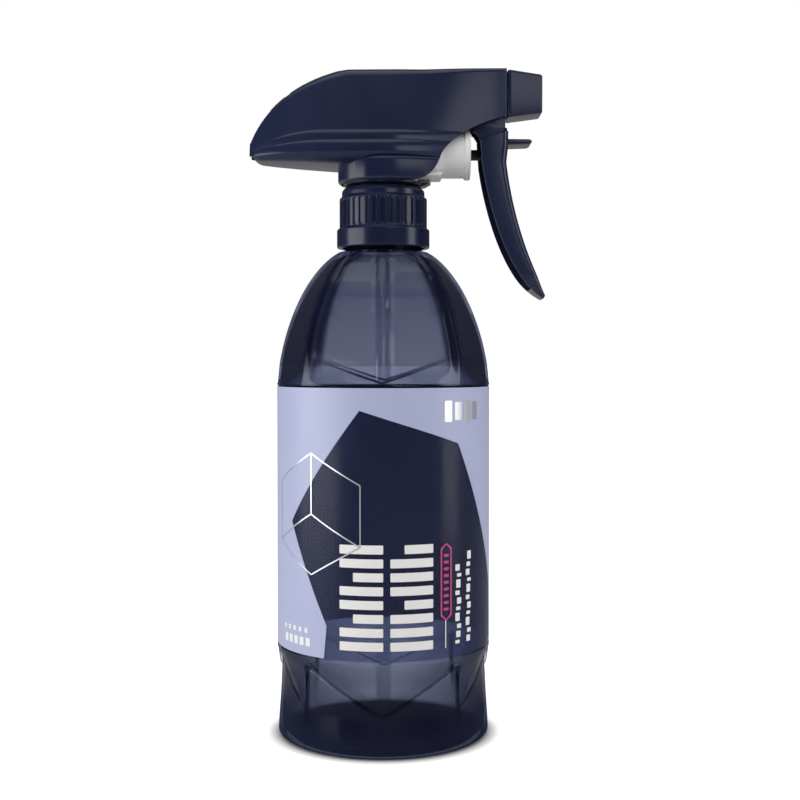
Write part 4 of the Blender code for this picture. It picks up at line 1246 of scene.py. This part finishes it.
def lever_head(heights):
    """The same above the grip: straight, then a shoulder that narrows to the ears' width."""
    corners = [(0.0, (32.0, 187.8), (40.2, 187.8), 9.4), (0.4, (31.7, 192.0), (40.8, 193.5), 9.4),
               (0.7, (31.5, 194.6), (40.8, 197.9), 9.4), (0.85, (31.2, 196.3), (40.7, 198.7), 6.0),
               (1.0, (29.4, 198.9), (40.7, 199.4), 5.4)]
    marks = []
    for height in heights:
        for (h0, *low), (h1, *high) in zip(corners, corners[1:]):
            if h0 <= height <= h1:
                share = (height - h0) / (h1 - h0)
                back, fore = (tuple(mix(low[i][j], high[i][j], share) for j in (0, 1)) for i in (0, 1))
                marks.append((back, fore, mix(low[2], high[2], share)))
                break
    return marks


def lever_ring(back, fore, half, front_round=3.0, back_round=0.45):
    """Section across the lever: nearly square behind, with well rounded corners in front."""
    length = math.hypot(back[0] - fore[0], back[1] - fore[1])
    run = ((back[0] - fore[0]) / length, (back[1] - fore[1]) / length)
    front_round = min(front_round, 0.5 * length, 0.4 * half)
    back_round = min(back_round, 0.3 * length)
    section = rounded([(0.0, -half, front_round), (0.0, half, front_round), (length, half, back_round),
                       (length, -half, back_round)], 7)
    return [(fore[0] + run[0] * u, y, fore[1] + run[1] * u) for u, y in section]


def lever_hollow_ring(back, fore, half):
    """Section of the hollow: a thick web in front, thin walls at the sides and open behind."""
    behind = (2.0 * back[0] - fore[0], 2.0 * back[1] - fore[1])
    return lever_ring(behind, (fore[0] - LEVER_WEB, fore[1]), half - LEVER_WALL, 2.2)


def trigger():
    """U-shaped lever, open behind, with two ears on the pivot pin and a finger ledge in front."""
    grip = lever_grip()
    (bx, bz), (fx, fz), half = grip[0]
    tip = [((bx + 0.1, bz - 0.12), (fx - 0.15, fz - 0.2), half - 0.5), ((bx, bz), (fx, fz), half - 0.15)]
    head = lever_head([0.08, 0.16, 0.24, 0.32, 0.4, 0.5, 0.6, 0.68, 0.695, 0.7, 0.706, 0.72, 0.78, 0.84,
                       0.85, 0.87, 0.93, 1.0])
    body = skinned("trigger_lever", [lever_ring(*mark) for mark in tip + grip[1:] + head], NAVY, 40.0)
    under_head = lever_head([0.1, 0.2, 0.3, 0.4])
    under_head += [((31.6, 193.8), (40.8, 196.7), LEVER_HALF_WIDTH), ((31.2, 195.6), (40.7, 197.7), 5.6)]
    hollow = skinned("lever_hollow", [lever_hollow_ring(*mark) for mark in grip[4:] + under_head], NAVY)
    ears_outline = rounded([(29.4, 198.0, 0.1), (40.0, 198.0, 0.3), (40.0, 205.2, 0.8),
                            (39.0, 206.6, 0.8), (36.8, 206.8, 0.8), (34.2, 204.8, 1.0),
                            (33.4, 201.6, 1.0), (29.4, 201.0, 0.4)], 4)
    ears = extruded("ears", ears_outline, -4.9, 4.9, NAVY, 0.35)
    slot = extruded("ear_slot", [(25.0, 194.0), (38.9, 194.0), (38.9, 199.2), (42.0, 199.9), (42.0, 210.0),
                                 (25.0, 210.0)], -3.6, 3.6, NAVY)
    eye = turned("eye", [(0.0, -7.0), (1.62, -7.0), (1.62, 7.0), (0.0, 7.0)], NAVY, axis="Y",
                 centre=(PIVOT_X, 0.0, PIVOT_Z), sides=64)
    ledge = extruded("ledge", rounded([(40.0, 193.9, 0.1), (47.9, 194.2, 0.6), (48.9, 194.9, 0.5),
                                       (48.2, 195.7, 0.5), (40.0, 195.8, 0.1)], 3), -5.0, 5.0, NAVY, 0.3)
    combine(body, [ears], "UNION")
    combine(body, [hollow, slot, eye], "DIFFERENCE")
    combine(body, [ledge], "UNION")
    attach(body, "lever", "trigger")


def rounded_square(x, half_y, low, high, corner):
    """Ring of points in a plane of constant x, with its four corners rounded."""
    steps = 8
    ring = []
    for y, z, start in ((half_y, high, 0), (-half_y, high, 90), (-half_y, low, 180), (half_y, low, 270)):
        cy = y - math.copysign(corner, y)
        cz = z - corner if z == high else z + corner
        for k in range(steps + 1):
            a = math.radians(start + 90.0 * k / steps)
            ring.append((x, cy + corner * math.cos(a), cz + corner * math.sin(a)))
    return ring


def nozzle():
    """Square cap, tapered to the front, with eased edges, a sunk face and the spray orifice."""
    body_rings = []
    for x in stations([NOZZLE_BACK, NOZZLE_BACK + 0.7, NOZZLE_FRONT - 0.5, NOZZLE_FRONT], 0.7):
        taper = (x - NOZZLE_BACK) / (NOZZLE_FRONT - NOZZLE_BACK)
        ease_back = 0.40 * (1.0 - smooth(0.0, 0.6, x - NOZZLE_BACK))
        ease = ease_back + 0.35 * smooth(0.45, 0.0, NOZZLE_FRONT - x)
        half_y = mix(6.47, 5.62, taper) - ease
        low = mix(202.72, 204.12, taper) + ease
        high = mix(218.17, 216.58, taper) - ease
        body_rings.append(rounded_square(x, half_y, low, high, 0.8))
    body = skinned("nozzle_square", body_rings, NAVY)
    orifice = [(0.0, 48.0), (0.5, 48.0), (0.5, 50.6), (0.9, 51.3), (0.0, 51.3)]
    recess = rounded([(0.0, 51.0, 0.0), (2.4, 51.0, 0.3), (2.8, 53.0, 0.0), (0.0, 53.0, 0.0)], 3)
    tools = [
        along_x("cap_bore", [(0.0, 39.0), (4.3, 39.0), (4.3, 49.4), (0.0, 49.4)], NAVY, BARREL_Z),
        along_x("cap_orifice", orifice, NAVY, BARREL_Z, 48),
        along_x("cap_recess", recess, NAVY, BARREL_Z),
    ]
    combine(body, tools, "DIFFERENCE")
    attach(body, "nozzle", "nozzle_cap")


# ---------------------------------------------------------------- studio

def floor():
    """A wide pale sheet, faintly uneven, that brightens away from the bottle like a lit sweep. Its glow
    for the eye is held back close round the bottle's foot: a painted contact shadow over the real one.
    """
    paint = Paint("floor_sheet")
    cloud = paint.noise(3.0, 2.0)
    paint.finish(paint.blend(cloud, (0.46, 0.46, 0.46), (0.48, 0.48, 0.48)),
                 paint.ramp(cloud, 0.3, 0.7, 0.6, 0.75))
    paint.shader.inputs["Specular IOR Level"].default_value = 0.1
    distance = paint.node("ShaderNodeVectorMath", operation="LENGTH")
    paint.link(paint.where, distance.inputs[0])
    # painted contact shadow: no glow for the eye within 34.5 mm of the axis, full glow past 39 mm
    glow_past_painted_shadow = paint.ramp(distance.outputs["Value"], 0.0345, 0.039, 0.0, 0.78)
    far = paint.ramp(distance.outputs["Value"], 0.07, 1.0, 0.0, 0.40)
    seen = paint.node("ShaderNodeLightPath").outputs["Is Camera Ray"]
    paint.link(paint.times(paint.math("ADD", glow_past_painted_shadow, far), seen), paint.shader.inputs["Emission Strength"])
    paint.shader.inputs["Emission Color"].default_value = (1.0, 1.0, 1.0, 1.0)
    half = 30.0
    mesh = bpy.data.meshes.new("floor_sheet")
    mesh.from_pydata([(-half, -half, 0.0), (half, -half, 0.0), (half, half, 0.0), (-half, half, 0.0)], [],
                     [(0, 1, 2, 3)])
    mesh.materials.append(paint.material)
    sheet = add_object("floor_sheet", mesh)
    sheet.location = AXIS


def surroundings():
    """White to the eye, soft and even for matt surfaces, and dim with a paler top in reflections."""
    world = bpy.data.worlds.new("studio")
    world.use_nodes = True
    tree = world.node_tree
    background = tree.nodes["Background"]
    path = tree.nodes.new("ShaderNodeLightPath")
    where = tree.nodes.new("ShaderNodeTexCoord")
    split = tree.nodes.new("ShaderNodeSeparateXYZ")
    tree.links.new(where.outputs["Generated"], split.inputs[0])
    rise = tree.nodes.new("ShaderNodeMapRange")
    for key, number in (("From Min", -0.1), ("From Max", 0.9), ("To Min", 0.02), ("To Max", 0.16)):
        rise.inputs[key].default_value = number
    tree.links.new(split.outputs["Z"], rise.inputs["Value"])
    level = rise.outputs["Result"]
    for kind, strength in (("Is Diffuse Ray", 0.75), ("Is Camera Ray", 1.0)):
        choose = tree.nodes.new("ShaderNodeMix")
        tree.links.new(path.outputs[kind], choose.inputs["Factor"])
        tree.links.new(level, choose.inputs[2])
        choose.inputs[3].default_value = strength
        level = choose.outputs[0]
    tree.links.new(level, background.inputs["Strength"])
    background.inputs["Color"].default_value = (1.0, 1.0, 1.0, 1.0)
    bpy.context.scene.world = world


def soft_box(name, location, target, wide, tall, power):
    """A rectangular softbox, aimed at a point; both points are in millimetres."""
    data = bpy.data.lights.new(name, "AREA")
    data.shape = "RECTANGLE"
    data.size = wide * MM
    data.size_y = tall * MM
    data.energy = power
    made = add_object(name, data)
    made.location = Vector(location) * MM + AXIS
    aim = Vector(target) - Vector(location)
    made.rotation_mode = "QUATERNION"
    made.rotation_quaternion = aim.to_track_quat("-Z", "Y")
    made.visible_camera = False


def studio():
    """Floor, surroundings, softboxes, and how light is counted and shown."""
    floor()
    surroundings()
    soft_box("left_rim", (-485, -165, 125), (0, 0, 140), 460, 310, 1.25)
    soft_box("right_rim", (510, -140, 200), (0, 0, 140), 190, 560, 0.72)
    soft_box("high_bank", (215, -490, 345), (20, 0, 205), 260, 150, 0.17)
    soft_box("top_bank", (-60, -60, 760), (0, 0, 100), 620, 620, 0.95)
    bpy.context.scene.cycles.transparent_max_bounces = 24
    view = bpy.context.scene.view_settings
    view.view_transform = "Standard"
    view.look = "None"


def camera():
    """Level with the middle of the label's top, a little right of the axis, looking slightly down."""
    data = bpy.data.cameras.new("camera")
    data.lens = 57.0
    data.sensor_width = 36.0
    data.clip_start = 0.01
    data.clip_end = 100.0
    made = add_object("camera", data)
    made.location = Vector((5.55, -421.3, 123.15)) * MM + AXIS
    made.rotation_euler = (math.radians(90.0 - 1.755), 0.0, 0.0)
    bpy.context.scene.camera = made


# ---------------------------------------------------------------- everything

bottle_shell()
liquid_fill()
label_sleeve()
label_figure()
label_bars()
label_badge()
label_dashes()
label_overlap()
collar()
closure_parts()
inlet_ball()
pump_body()
pump_parts()
hood()
trigger()
nozzle()
studio()
camera()

bpy.context.view_layer.update()
